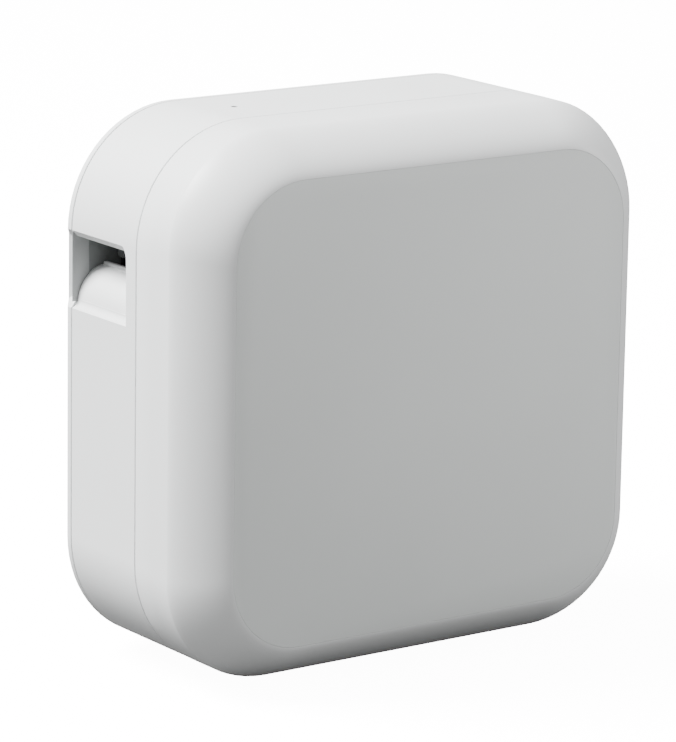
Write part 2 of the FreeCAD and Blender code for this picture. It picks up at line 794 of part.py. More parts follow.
def make_cutter_frame():
    """Bent metal frame: foot, web with the tape window, top, and an ear for the lever pin."""
    x0 = blade_x0 - 0.6
    x1 = frame_x + 0.8
    y0 = bay_floor
    y1 = carriage_y[1]
    web = box(frame_x, x1, y0, y1, frame_z0, frame_z1)
    web = web.cut(box(frame_x - 1, x1 + 1, tape_y0 - 0.8, y1 + 1, tape_z - 1.6, tape_z + 1.6))
    foot = box(x0, x1, y0, y1, frame_z0, frame_z0 + 1.2)
    head = box(x0, x1, y0, y1, frame_z1 - 1.2, frame_z1)
    ear_top = lever_z + 2.6
    ear = box(lever_x - 2.2, frame_x + 0.5, ear_y, ear_y + 1.2, lever_z - 3.6, ear_top)
    ear = ear.fuse(box(lever_x + 1.2, frame_x + 0.5, ear_y, ear_y + 1.2, frame_z0, lever_z))
    passage_z0 = frame_z0 + 1.2
    ear = ear.cut(box(carriage_x0 - 1.0, frame_x - 0.2, ear_y - 1, ear_y + 2, passage_z0, ear_top + 1))
    frame = fuse(web, foot, head, ear)
    frame = frame.cut(rod_y(lever_x, lever_z, lever_pin_radius, -40, 40))
    for y in guide_y:
        x = carriage_x0 + carriage_thickness / 2
        frame = frame.cut(rod_z(x, y, guide_radius, frame_z0 - 1, frame_z1 + 1))
    return frame


def make_guide_rods():
    x = carriage_x0 + carriage_thickness / 2
    return Part.makeCompound([rod_z(x, y, guide_radius, frame_z0, frame_z1) for y in guide_y])


def make_cutter_carriage():
    x1 = carriage_x0 + carriage_thickness
    body = box(carriage_x0, x1, carriage_y[0] + 0.3, carriage_y[1] - 0.3, carriage_z0, carriage_z1)
    arm_y = (lever_y0 + lever_y1) / 2
    tip_z = lever_z - arm_reach * math.sin(math.radians(arm_angle))
    window = box(carriage_x0 - 1, x1 + 1, arm_y - 2.2, arm_y + 2.2, tip_z - 1.75, tip_z + 1.75)
    body = body.cut(window)
    x = carriage_x0 + carriage_thickness / 2
    for y in guide_y:
        body = body.cut(rod_z(x, y, guide_radius + running_gap, carriage_z0 - 1, carriage_z1 + 1))
    return body


def make_cutter_blade():
    y0 = tape_y0 - 0.6
    y1 = tape_y1 + 0.6
    z0 = carriage_z1 - 3.4
    blade = box(blade_x0, carriage_x0, y0, y1, z0, tape_z - 0.5)
    slope = [(y0 - 1, tape_z - 0.5), (y0 - 1, tape_z + 1), (y1 + 1, tape_z + 1), (y1 + 1, tape_z - 2.0)]
    corners = [V(blade_x0 - 1, y, z) for y, z in slope]
    wedge = Part.Face(Part.makePolygon(corners + corners[:1])).extrude(V(3, 0, 0))
    return blade.cut(wedge)


def make_fixed_blade():
    x1 = blade_x0 - 0.15
    return box(x1 - 0.45, x1, tape_y0 - 0.6, tape_y1 + 0.6, tape_z + 0.5, frame_z1 - 1.2)


# ---- print head and platen ----
def make_head_sink():
    base = box(head_x - 3.0, head_x + 3.0, bay_floor, bay_floor + 1.6, tape_z - 7.0, tape_z - 1.2)
    post = box(head_x - 1.9, head_x + 1.9, bay_floor, tape_y1 + 1.0, tape_z - 6.4, tape_z - 1.2)
    return fuse(base, post)


def make_print_head():
    z1 = tape_z - tape_thickness / 2 - 0.3
    plate = box(head_x - 1.9, head_x + 1.9, tape_y0 - 0.8, tape_y1 + 0.8, tape_z - 1.2, z1 - 0.15)
    line = box(head_x - 0.4, head_x + 0.4, tape_y0, tape_y1, z1 - 0.15, z1)
    return fuse(plate, line)


def make_platen_roller():
    y0 = tape_y0 - 0.8
    roller = ring_y(head_x, platen_z, platen_radius, shaft_radius, y0, tape_y1 + 0.8)
    return roller


def make_platen_shaft():
    return rod_y(head_x, platen_z, shaft_radius, layer_two, holder_y[1] + holder_wall)


def make_platen_holder():
    arms = []
    for y in (holder_y[0], holder_y[1]):
        points = [
            (head_x - 2.6, platen_z - 2.2),
            (head_x + 2.6, platen_z - 2.2),
            (head_x + 7.0, platen_z + 0.6),
            (holder_x + 1.5, holder_z - 2.4),
            (holder_x + 2.8, holder_z + 1.5),
            (head_x + 4.0, platen_z + 6.6),
            (head_x - 3.4, platen_z + 6.6),
        ]
        arms.append(prism_y(points, y, y + holder_wall))
    bridge_y1 = holder_y[1] + holder_wall
    bridge = box(head_x - 3.4, head_x + 4.0, holder_y[0], bridge_y1, platen_z + 5.4, platen_z + 6.6)
    hub = rod_y(holder_x, holder_z, 2.4, holder_y[0], holder_y[1] + holder_wall)
    holder = fuse(bridge, hub, *arms)
    holder = holder.cut(rod_y(head_x, platen_z, shaft_radius + running_gap, -40, 40))
    return holder.cut(rod_y(holder_x, holder_z, shaft_radius + running_gap, -40, 40))


def make_holder_pin():
    return rod_y(holder_x, holder_z, shaft_radius, chassis_front, holder_y[1] + holder_wall + 1.0)


# ---- cassette ----
def cassette_outline():
    c = 2.2
    x0, x1 = cassette_x0, cassette_x1
    z0, z1 = cassette_z0, cassette_z1
    return [
        (x0 + c, z0),
        (x1 - c, z0),
        (x1, z0 + c),
        (x1, z1 - c),
        (x1 - c, z1),
        (cavity_x1, z1),
        (cavity_x1, cavity_z0),
        (cavity_x0, cavity_z0),
        (cavity_x0, z1),
        (x0, z1),
        (x0, z0 + c),
    ]


def cassette_case():
    body = prism_y(cassette_outline(), cassette_y0, cassette_y1)
    t = cassette_wall
    y0, y1 = cassette_y0 + t, cassette_y1 - t
    main = box(cavity_x1 + t, cassette_x1 - t, y0, y1, cassette_z0 + t, cassette_z1 - t)
    side = box(cassette_x0 + t, cavity_x1 + t + 1, y0, y1, cassette_z0 + t, cavity_z0 - t)
    body = body.cut(main.fuse(side))
    # tape path through the arm beside the head cavity
    path = box(cassette_x0 - 1, cavity_x0 + 1, tape_y0 - 0.5, tape_y1 + 0.5, tape_z - 0.5, tape_z + 0.5)
    entry = box(cavity_x1 - 1, cavity_x1 + 4, tape_y0 - 0.5, tape_y1 + 0.5, tape_z - 0.9, tape_z + 0.5)
    hub = rod_y(ribbon_axis[0], ribbon_axis[1], hub_radius, cassette_y0 - 1, cassette_y1 + 1)
    return body.cut(path).cut(entry).cut(hub)


def make_cassette_base():
    shell = cassette_case().common(box(-200, 200, cassette_y0 - 1, cassette_split, 0, 300))
    posts = []
    for x, z in (tape_roll_axis, film_roll_axis):
        posts.append(rod_y(x, z, 3.0, cassette_y0 + 0.2, cassette_y1 - cassette_wall - 0.2))
    return fuse(shell, *posts)


def make_cassette_lid():
    shell = cassette_case().common(box(-200, 200, cassette_split, cassette_y1 + 1, 0, 300))
    x, z = tape_roll_axis
    window = box(x - 4, x + 4, cassette_split, cassette_y1 + 1, z + 9, z + 17)
    shell = shell.cut(window)
    for i in range(5):
        gx = cassette_x0 + 5 + i * 2.0
        groove = box(gx, gx + 0.9, cassette_y1 - 0.5, cassette_y1 + 1, cassette_z0 + 5, cassette_z0 + 22)
        shell = shell.cut(groove)
    return shell


def roll(axis, outer, bore):
    y0 = cassette_y0 + cassette_wall + 0.4
    y1 = cassette_y1 - cassette_wall - 0.4
    middle = (tape_y0 + tape_y1) / 2
    half = tape_width / 2
    y0 = max(y0, middle - half)
    y1 = min(y1, middle + half)
    return ring_y(axis[0], axis[1], outer, bore, y0, y1)


def make_takeup_spool():
    x, z = ribbon_axis
    spool = roll(ribbon_axis, takeup_radius, hub_radius - 0.2)
    y0, y1 = spool.BoundBox.YMin, spool.BoundBox.YMax
    keys = []
    for i in range(6):
        key = box(x - 0.35, x + 0.35, y0, y1, z + 2.5, z + hub_radius + 0.3)
        key.rotate(V(x, 0, z), V(0, 1, 0), 30 + 60 * i)
        keys.append(key)
    return fuse(spool, *keys)


def make_tape_strip():
    return box(
        cassette_x0 - 1.6,
        cavity_x1 + 3.4,
        tape_y0,
        tape_y1,
        tape_z - tape_thickness / 2,
        tape_z + tape_thickness / 2,
    )


# ---- batteries ----
def make_cell(column, row):
    """AAA cell along X; neighbouring rows point opposite ways."""
    y, z = cell_places[row]
    way = 1 if row % 2 == 0 else -1
    profile = [
        (0.0, 0.0),
        (0.0, 3.9),
        (0.25, 4.1),
        (0.25, 4.7),
        (0.0, 5.0),
        (0.3, cell_radius),
        (43.3, cell_radius),
        (43.6, 4.9),
        (43.3, 4.4),
        (43.3, 1.95),
        (44.2, 1.9),
        (cell_length, 1.5),
        (cell_length, 0.0),
    ]
    points = [V(a, r, 0) for a, r in profile]
    face = Part.Face(Part.makePolygon(points + points[:1]))
    cell = face.revolve(V(0, 0, 0), V(1, 0, 0), 360)
    cell.translate(V(-cell_length / 2, 0, 0))
    if way < 0:
        cell.rotate(V(0, 0, 0), V(0, 0, 1), 180)
    shift = way * contact_length / 2
    centre = (column - 0.5) * cell_length + shift
    cell.translate(V(centre, y, z))
    return cell


def make_battery_springs():
    """Bowed leaf between each plate and the flat end of the cell beside it."""
    leaf = 0.3
    half_width = 2.5
    foot = contact_x - contact_length / 2 - touch_gap
    crown = cell_length - contact_length / 2 + touch_gap
    springs = []
    for row, (y, z) in enumerate(cell_places):
        side = -1 if row % 2 == 0 else 1
        rise = [(foot, -3.4), (crown, -0.8), (crown, 0.8), (foot, 3.4)]
        back = [(foot, 3.0), (crown + leaf, 0.6), (crown + leaf, -0.6), (foot, -3.0)]
        points = [(side * x, z + dz) for x, dz in rise + back]
        springs.append(prism_y(points, y - half_width, y + half_width))
    return Part.makeCompound(springs)


def make_battery_plates():
    plates = []
    x_inner = contact_x - contact_length / 2
    for side in (-1, 1):
        for y, z in cell_places:
            x0, x1 = sorted((side * x_inner, side * (x_inner + 0.4)))
            plates.append(box(x0, x1, y - 3.8, y + 3.8, z - 3.8, z + 3.8))
    return Part.makeCompound(plates)


# ---- boards, button, inlet and light ----
def make_main_board():
    board = box(board_x0, board_x1, board_y, board_y + 1.6, board_z0, board_z1)
    for x, z in board_posts:
        board = board.cut(rod_y(x, z, 0.9, board_y - 1, board_y + 3))
    return board


def on_board(u, v, w, h, t):
    x = board_x0 + u * board_width
    z = board_z0 + v * (board_z1 - board_z0)
    return box(x - w / 2, x + w / 2, board_y - t, board_y, z - h / 2, z + h / 2)


def make_board_chips():
    places = [
        (0.35, 0.5, 9, 9, 1.2),
        (0.7, 0.45, 6, 5, 1.0),
        (0.3, 0.25, 5, 4, 1.2),
        (0.7, 0.22, 7, 7, 2.4),
    ]
    return Part.makeCompound([on_board(*place) for place in places])


def make_radio_module():
    return on_board(0.55, 0.8, 14, 11, 2.2)


def make_board_capacitors():
    cans = []
    for u in (0.3, 0.55):
        x = board_x0 + u * board_width
        z = board_z0 + 8.0
        cans.append(rod_y(x, z, 3.0, board_y - 5.0, board_y))
    return Part.makeCompound(cans)


def screw(x, y_head, z, head_radius, shank_radius, length):
    """Screw along Y, its head towards the back, with a cross slot."""
    head = rod_y(x, z, head_radius, y_head, y_head + 1.3)
    head = head.makeChamfer(0.35, [e for e in head.Edges if e.BoundBox.YMin > y_head + 1.2])
    for w, h in ((0.5, 2.2), (2.2, 0.5)):
        slot = box(x - w / 2, x + w / 2, y_head + 0.6, y_head + 2, z - h / 2, z + h / 2)
        head = head.cut(slot)
    return fuse(head, rod_y(x, z, shank_radius, y_head - length, y_head + 0.1))


def make_case_screws():
    return Part.makeCompound([screw(x, bay_floor, z, 2.1, 1.1, 10.0) for x, z in case_screws])


def screw_towards_back(x, y_head, z, head_radius, shank_radius, length):
    piece = screw(x, 0, z, head_radius, shank_radius, length)
    piece.rotate(V(x, 0, z), V(0, 0, 1), 180)
    piece.translate(V(0, y_head, 0))
    return piece


def make_board_screws():
    screws = [screw_towards_back(x, board_y, z, 1.9, 0.9, 7.0) for x, z in board_posts]
    return Part.makeCompound(screws)


def make_bracket_screws():
    screws = [screw_towards_back(x, bracket_y, z, 1.7, 0.9, 5.0) for x, z in bracket_posts]
    return Part.makeCompound(screws)


def make_power_button():
    cap = rod_x(button_y, button_z, button_radius, right - wall - 1.0, right - 0.2)
    cap = cap.makeFillet(0.5, [e for e in cap.Edges if e.BoundBox.XMin > right - 0.3])
    dish = Part.makeSphere(22.0, V(right + 21.3, button_y, button_z))
    flange = rod_x(button_y, button_z, button_radius + 1.2, right - wall - 1.6, right - wall - 0.3)
    stem = rod_x(button_y, button_z, 1.8, switch_x + 3.3, right - wall - 1.0)
    return fuse(cap.cut(dish), flange, stem)


def make_button_spring():
    x0 = switch_x + 0.8
    return coil(V(x0, button_y, button_z), V(1, 0, 0), 3.0, 0.25, 3, right - wall - 1.9 - x0)


def make_power_switch():
    y, z, h = button_y, button_z, switch_half
    body = box(switch_x - 2.6, switch_x + 0.4, y - h, y + h, z - h, z + h)
    plunger = rod_x(button_y, button_z, 1.2, switch_x, switch_x + 2.1)
    return fuse(body, plunger)


def make_switch_board():
    y1 = button_y + 7.0
    return box(switch_x - 4.2, switch_x - 2.6, bay_floor, y1, button_z - 8, button_z + 8)


def make_dc_inlet():
    x1 = right - wall
    body = box(x1 - 11.0, x1, bay_floor + 0.3, jack_y + 5.0, jack_z - jack_half, jack_z + jack_half)
    collar = rod_x(jack_y, jack_z, jack_hole - 0.1, right - wall - 1, right - 0.6)
    inlet = fuse(body, collar)
    inlet = inlet.cut(rod_x(jack_y, jack_z, 2.8, right - wall - 9.0, right + 1))
    return inlet


def make_inlet_pin():
    return rod_x(jack_y, jack_z, 0.85, right - wall - 9.0, right - wall - 1.0)


def make_light_pipe():
    z1 = top - 0.15
    pipe = rod_z(light_x, light_y, light_radius, top - wall - 3.0, z1)
    flange = rod_z(light_x, light_y, light_radius + 0.9, top - wall - 3.0, top - wall)
    return fuse(pipe, flange)


def make_light_board():
    return box(light_x - 8, light_x + 8, bay_floor, light_y + 4.0, light_board_z, light_board_z + 1.2)


def make_status_light():
    base = light_board_z + 1.2
    body = box(light_x - 1.0, light_x + 1.0, light_y - 0.6, light_y + 0.6, base, base + 0.8)
    dome = Part.makeSphere(0.5, V(light_x, light_y, base + 0.8))
    return fuse(body, dome)


# ---- wiring ----
def tube(points, radius):
    """Lead made of straight runs joined by tangent arcs."""
    corners = [V(*p) for p in points]
    edges = []
    start = corners[0]
    for i in range(1, len(corners) - 1):
        before = corners[i] - corners[i - 1]
        after = corners[i + 1] - corners[i]
        turn = before.getAngle(after)
        bend = 0.45 * min(before.Length, after.Length) / math.tan(turn / 2)
        cut = bend * math.tan(turn / 2)
        u = V(before).normalize()
        w = V(after).normalize()
        p = corners[i] - u * cut
        q = corners[i] + w * cut
        centre_way = (w - u).normalize()
        middle = corners[i] + centre_way * (bend / math.cos(turn / 2) - bend)
        edges.append(Part.makeLine(start, p))
        edges.append(Part.Arc(p, middle, q).toShape())
        start = q
    edges.append(Part.makeLine(start, corners[-1]))
    spine = Part.Wire(edges)
    first = (corners[1] - corners[0]).normalize()
    circle = Part.Wire(Part.makeCircle(radius, corners[0], first))
    return spine.makePipeShell([circle], True, False)


def make_motor_leads():
    x, z = motor_axis
    y = y_front_inside + 3.2
    end_y = board_y - 1.2
    leads = []
    for side in (-1, 1):
        edge = x + math.sqrt(7.8 ** 2 - 1.7 ** 2) + touch_gap
        end_z = z + 11.0 + side * 1.2
        leads.append(
            tube(
                [
                    (edge, y, z + side * 2.2),
                    (x + 10.6, y, z + side * 2.2),
                    (board_x0 - 0.8, end_y, end_z),
                    (board_x0 + 3.4, end_y, end_z),
                ],
                0.5,
            )
        )
    return Part.makeCompound(leads)


def make_lead_connector():
    x0 = board_x0 + 3.4
    z = motor_axis[1] + 11.0
    return box(x0, x0 + 4.2, board_y - 2.4, board_y, z - 2.8, z + 2.8)


def make_head_cable():
    """Flat cable from the head, down along the bay floor."""
    y = bay_floor
    z1 = tape_z - 7.0
    return box(head_x - 2.4, head_x + 2.4, y, y + 0.2, idler_axis[1] - 12.0, z1)


def make_rubber_feet():
    feet = []
    for x in (-foot_x, foot_x):
        for y in (front_foot_y, rear_foot_y):
            foot = rod_z(x, y, foot_radius, 0, foot_height + foot_seat)
            low = [e for e in foot.Edges if e.BoundBox.ZMax < 0.01]
            feet.append(foot.makeFillet(0.4, low))
    return Part.makeCompound(feet)


def main():
    pieces = {
        "front_shell": make_front_shell(),
        "front_panel": make_front_panel(),
        "middle_shell": make_middle_shell(),
        "chassis_plate": make_chassis_plate(),
        "back_cover": make_back_cover(),
        "cover_latch": make_cover_latch(),
        "rubber_feet": make_rubber_feet(),
        "cutter_lever": make_cutter_lever(),
        "lever_pin": make_lever_pin(),
        "lever_spring": make_lever_spring(),
        "cutter_frame": make_cutter_frame(),
        "guide_rods": make_guide_rods(),
        "cutter_carriage": make_cutter_carriage(),
        "cutter_blade": make_cutter_blade(),
        "fixed_blade": make_fixed_blade(),
        "motor": make_motor(),
        "motor_shaft": make_motor_shaft(),
        "motor_pinion": make_motor_pinion(),
        "reduction_gear": make_reduction_gear(),
        "idler_gear": make_idler_gear(),
        "platen_gear": make_platen_gear(),
        "ribbon_drive": make_ribbon_drive(),
        "gear_axles": make_gear_axles(),
        "motor_bracket": make_motor_bracket(),
        "bracket_screws": make_bracket_screws(),
        "head_sink": make_head_sink(),
        "print_head": make_print_head(),
        "head_cable": make_head_cable(),
        "platen_roller": make_platen_roller(),
        "platen_shaft": make_platen_shaft(),
        "platen_holder": make_platen_holder(),
        "holder_pin": make_holder_pin(),
        "cassette_base": make_cassette_base(),
        "cassette_lid": make_cassette_lid(),
        "tape_roll": roll(tape_roll_axis, tape_roll_radius, 3.4),
        "film_roll": roll(film_roll_axis, film_roll_radius, 3.4),
        "takeup_spool": make_takeup_spool(),
        "tape_strip": make_tape_strip(),
        "battery_springs": make_battery_springs(),
        "battery_plates": make_battery_plates(),
        "main_board": make_main_board(),
        "board_chips": make_board_chips(),
        "board_capacitors": make_board_capacitors(),
        "radio_module": make_radio_module(),
        "board_screws": make_board_screws(),
        "case_screws": make_case_screws(),
        "power_button": make_power_button(),
        "button_spring": make_button_spring(),
        "power_switch": make_power_switch(),
        "switch_board": make_switch_board(),
        "dc_inlet": make_dc_inlet(),
        "inlet_pin": make_inlet_pin(),
        "light_pipe": make_light_pipe(),
        "light_board": make_light_board(),
        "status_light": make_status_light(),
        "motor_leads": make_motor_leads(),
        "lead_connector": make_lead_connector(),
    }
    cells = [(column, row) for row in range(3) for column in range(2)]
    group = Part.makeCompound([make_cell(column, row) for column, row in cells])
    pieces["battery_cells"] = group
    os.makedirs("parts", exist_ok=True)
    for name, shape in pieces.items():
        shape.exportStep("parts/" + name + ".step")
        print(name, len(shape.Solids), shape.isValid(), round(shape.Volume, 1))


main()
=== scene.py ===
import json
import math

import bmesh
import bpy
from mathutils import Matrix, Vector


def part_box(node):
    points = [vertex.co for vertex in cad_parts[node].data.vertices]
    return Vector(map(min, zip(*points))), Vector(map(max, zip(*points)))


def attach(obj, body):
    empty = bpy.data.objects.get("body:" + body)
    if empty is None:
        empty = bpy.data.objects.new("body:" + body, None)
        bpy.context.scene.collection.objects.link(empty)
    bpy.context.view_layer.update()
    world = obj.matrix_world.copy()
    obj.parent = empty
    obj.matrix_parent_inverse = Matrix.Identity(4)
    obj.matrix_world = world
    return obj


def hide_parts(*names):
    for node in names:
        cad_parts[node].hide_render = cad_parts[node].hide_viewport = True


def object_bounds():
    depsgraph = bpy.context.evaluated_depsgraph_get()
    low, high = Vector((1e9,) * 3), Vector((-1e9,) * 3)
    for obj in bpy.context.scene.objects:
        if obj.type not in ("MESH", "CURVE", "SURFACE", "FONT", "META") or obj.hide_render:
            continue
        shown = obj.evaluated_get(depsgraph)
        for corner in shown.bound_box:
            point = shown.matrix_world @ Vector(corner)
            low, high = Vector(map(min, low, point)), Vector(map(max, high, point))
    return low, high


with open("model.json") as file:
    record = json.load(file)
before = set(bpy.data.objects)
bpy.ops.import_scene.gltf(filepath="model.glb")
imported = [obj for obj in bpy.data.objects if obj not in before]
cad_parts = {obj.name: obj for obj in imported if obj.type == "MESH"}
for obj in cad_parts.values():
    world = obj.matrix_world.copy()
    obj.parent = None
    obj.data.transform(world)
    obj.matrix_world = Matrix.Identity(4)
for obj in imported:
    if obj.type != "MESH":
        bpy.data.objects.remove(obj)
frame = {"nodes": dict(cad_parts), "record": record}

cad_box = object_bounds()

# ---- driving sizes, in millimetres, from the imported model's own box ----
MM = 0.001
LOW = cad_box[0] / MM
HIGH = cad_box[1] / MM
FOOT = 1.4
HALF_X = (HIGH.x - LOW.x) / 2
HALF_Z = (HIGH.z - FOOT) / 2
MID_Z = FOOT + HALF_Z
Y_FRONT = LOW.y
Y_BACK = HIGH.y
WALL = 2.2
CORNER = 24.65
RIM_LENGTH = 11.05
RIM_STEP = 0.3
RIM_INSET = 8.6
RIM_POWER = 1.46
RIM_CORNER = 23.4
CORNER_RATE = 0.826
Y_CREASE = Y_FRONT + RIM_LENGTH
Y_SEAM = Y_FRONT + 22.4
Y_COVER = Y_SEAM + 24.1
Y_SHOULDER = Y_COVER + 1.5
SEAM_GAP = 0.3
PANEL = 1.6
CHAMFER_ANGLE = 40.0
BACK_ROUND = 2.9
EDGE = 0.14
PANEL_EDGE = 0.05
ARC_STEPS = 18
RECESS_Y = Y_FRONT + 26.1
RECESS_LOW = MID_Z + 16.2
RECESS_HIGH = MID_Z + 32.4
CEILING = RECESS_HIGH - 1.3
LEFT = -HALF_X
RIGHT = HALF_X
INNER_WALL = LEFT + 12.4
LEVER_X = LEFT + 8.8
LEVER_Z = RECESS_LOW + 1.0
LEVER_RADIUS = 7.0
TAPE_Z = MID_Z + 27.2


# ---- mesh helpers ----
def finish_mesh(bm, name, sharp=30.0, crease_at=None):
    """Merges, turns the faces outwards, marks hard edges and scales to metres."""
    bmesh.ops.remove_doubles(bm, verts=bm.verts, dist=0.0005)
    bmesh.ops.recalc_face_normals(bm, faces=bm.faces)
    for face in bm.faces:
        face.smooth = True
    for edge in bm.edges:
        edge.smooth = edge.calc_face_angle(0.0) < math.radians(sharp)
        if crease_at is not None and all(abs(v.co.y - crease_at) < 0.001 for v in edge.verts):
            edge.smooth = False
    bmesh.ops.scale(bm, vec=(MM, MM, MM), verts=bm.verts)
    mesh = bpy.data.meshes.new(name)
    bm.to_mesh(mesh)
    bm.free()
    piece = bpy.data.objects.new(name, mesh)
    bpy.context.scene.collection.objects.link(piece)
    return piece


def add_ring(bm, inset, corner, y):
    """One rounded-rectangle loop of the casing; gives its edges."""
    count = 4 * ARC_STEPS
    half_step = Matrix.Rotation(math.pi / count, 4, "Z")
    made = bmesh.ops.create_circle(bm, segments=count, radius=1.0, matrix=half_step)
    w = HALF_X - inset
    h = HALF_Z - inset
    for vert in made["verts"]:
        angle = math.atan2(vert.co.y, vert.co.x) % (2 * math.pi)
        quarter = int(angle // (math.pi / 2))
        share = (angle / (math.pi / 2) - quarter) * ARC_STEPS - 0.5
        turn = (quarter + share / (ARC_STEPS - 1)) * math.pi / 2
        sx = 1 if quarter in (0, 3) else -1
        sz = 1 if quarter in (0, 1) else -1
        x = sx * (w - corner) + corner * math.cos(turn)
        z = MID_Z + sz * (h - corner) + corner * math.sin(turn)
        vert.co = (x, y, z)
    return list({e for v in made["verts"] for e in v.link_edges})


def loft(sections, name, cap_start=False, cap_end=False, loop=False, crease_at=None):
    """Bridges the casing loops (inset, corner, y) one after another; crease_at is the y of a hard loop."""
    bm = bmesh.new()
    rings = [add_ring(bm, *section) for section in sections]
    pairs = list(zip(rings, rings[1:]))
    if loop:
        pairs.append((rings[-1], rings[0]))
    for first, second in pairs:
        bmesh.ops.bridge_loops(bm, edges=first + second)
    if cap_start:
        bmesh.ops.edgeloop_fill(bm, edges=rings[0])
    if cap_end:
        bmesh.ops.edgeloop_fill(bm, edges=rings[-1])
    return finish_mesh(bm, name, crease_at=crease_at)


def add_block(bm, x0, x1, y0, y1, z0, z1):
    size = Matrix.Diagonal((x1 - x0, y1 - y0, z1 - z0, 1.0))
    place = Matrix.Translation(((x0 + x1) / 2, (y0 + y1) / 2, (z0 + z1) / 2))
    return bmesh.ops.create_cube(bm, size=1.0, matrix=place @ size)["verts"]


def add_rod(bm, start, end, radius, segments=48):
    start = Vector(start)
    end = Vector(end)
    along = end - start
    turn = along.to_track_quat("Z", "Y").to_matrix().to_4x4()
    place = Matrix.Translation((start + end) / 2) @ turn
    made = bmesh.ops.create_cone(
        bm, cap_ends=True, segments=segments, radius1=radius, radius2=radius, depth=along.length, matrix=place
    )
    return made["verts"]


def add_prism(bm, points, axis, low, high):
    """Polygon given in the two other axes, pushed along axis from low to high."""
    corners = []
    for a, b in points:
        place = {"X": (low, a, b), "Y": (a, low, b), "Z": (a, b, low)}[axis]
        corners.append(bm.verts.new(place))
    face = bm.faces.new(corners)
    made = bmesh.ops.extrude_face_region(bm, geom=[face])
    moved = [g for g in made["geom"] if isinstance(g, bmesh.types.BMVert)]
    way = {"X": (1, 0, 0), "Y": (0, 1, 0), "Z": (0, 0, 1)}[axis]
    bmesh.ops.translate(bm, vec=Vector(way) * (high - low), verts=moved)
    return corners + moved


def bevel_hard_edges(bm, width, segments=2, above=35.0):
    hard = [e for e in bm.edges if e.calc_face_angle(0.0) > math.radians(above)]
    bmesh.ops.bevel(
        bm, geom=hard, offset=width, segments=segments, profile=0.5, affect="EDGES", material=-1, clamp_overlap=True
    )


def cutter_from(build):
    bm = bmesh.new()
    build(bm)
    piece = finish_mesh(bm, "cutter")
    piece.hide_render = True
    return piece


def cut_away(piece, *builders):
    """Takes each builder's solid out of the piece, for good."""
    for build in builders:
        tool = cutter_from(build)
        cut = piece.modifiers.new("cut", "BOOLEAN")
        cut.operation = "DIFFERENCE"
        cut.solver = "EXACT"
        cut.object = tool
        graph = bpy.context.evaluated_depsgraph_get()
        mesh = bpy.data.meshes.new_from_object(piece.evaluated_get(graph))
        old = piece.data
        piece.modifiers.clear()
        piece.data = mesh
        mesh.name = piece.name
        bpy.data.meshes.remove(old)
        bpy.data.objects.remove(tool)
    return piece


def outward_way(x, z, corner):
    """Direction of the rounded-rectangle side wall at (x, z)."""
    dx = max(0.0, abs(x) - (HALF_X - corner))
    dz = max(0.0, abs(z - MID_Z) - (HALF_Z - corner))
    way = Vector((math.copysign(dx, x), 0, math.copysign(dz, z - MID_Z)))
    return way.normalized()


def soften(piece, width=0.12, above=35.0):
    """Small moulded radius on the edges that a cut left, with even shading on the side wall."""
    bm = bmesh.new()
    bm.from_mesh(piece.data)
    bmesh.ops.remove_doubles(bm, verts=bm.verts, dist=0.000002)
    flat = math.radians(0.5)
    bmesh.ops.dissolve_limit(bm, angle_limit=flat, use_dissolve_boundaries=False, verts=bm.verts, edges=bm.edges)
    hard = [e for e in bm.edges if e.calc_face_angle(0.0) > math.radians(above)]
    bmesh.ops.bevel(
        bm, geom=hard, offset=width * MM, segments=2, profile=0.5, affect="EDGES", material=-1, clamp_overlap=True
    )
    bmesh.ops.triangulate(bm, faces=[f for f in bm.faces if len(f.verts) > 4])
    for face in bm.faces:
        face.smooth = True
    for edge in bm.edges:
        edge.smooth = edge.calc_face_angle(0.0) < math.radians(30.0)
    bm.to_mesh(piece.data)
    bm.free()
    mesh = piece.data
    normals = [Vector(corner.vector) for corner in mesh.corner_normals]
    for polygon in mesh.polygons:
        middle = polygon.center / MM
        way = outward_way(middle.x, middle.z, CORNER)
        flat_side = polygon.normal.dot(way) > math.cos(math.radians(6.0))
        for index in polygon.loop_indices:
            place = mesh.vertices[mesh.loops[index].vertex_index].co / MM
            if flat_side:
                normals[index] = outward_way(place.x, place.z, CORNER)
            elif polygon.area > 2.0 * MM * MM:
                normals[index] = Vector(polygon.normal)
    mesh.normals_split_custom_set(normals)
    return piece


def settle(piece, body, material, *replaced, slot=None):
    piece.data.materials.clear()
    piece.data.materials.append(material)
    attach(piece, body)
    if replaced:
        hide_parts(*replaced)
    return piece


# ---- shader groups ----
def new_group(name, inputs, outputs):
    group = bpy.data.node_groups.new(name, "ShaderNodeTree")
    for label, kind, value in inputs:
        socket = group.interface.new_socket(label, in_out="INPUT", socket_type=kind)
        socket.default_value = value
    for label, kind in outputs:
        group.interface.new_socket(label, in_out="OUTPUT", socket_type=kind)
    return group, group.nodes.new("NodeGroupInput"), group.nodes.new("NodeGroupOutput")


def noise_node(tree, vector, scale, detail, roughness=0.5):
    noise = tree.nodes.new("ShaderNodeTexNoise")
    noise.inputs["Detail"].default_value = detail
    noise.inputs["Roughness"].default_value = roughness
    tree.links.new(vector, noise.inputs["Vector"])
    if isinstance(scale, (int, float)):
        noise.inputs["Scale"].default_value = scale
    else:
        tree.links.new(scale, noise.inputs["Scale"])
    return noise.outputs["Fac"]


def math_node(tree, operation, a, b, clamp=False):
    node = tree.nodes.new("ShaderNodeMath")
    node.operation = operation
    node.use_clamp = clamp
    for socket, value in zip(node.inputs, (a, b)):
        if isinstance(value, (int, float)):
            socket.default_value = value
        else:
            tree.links.new(value, socket)
    return node.outputs[0]


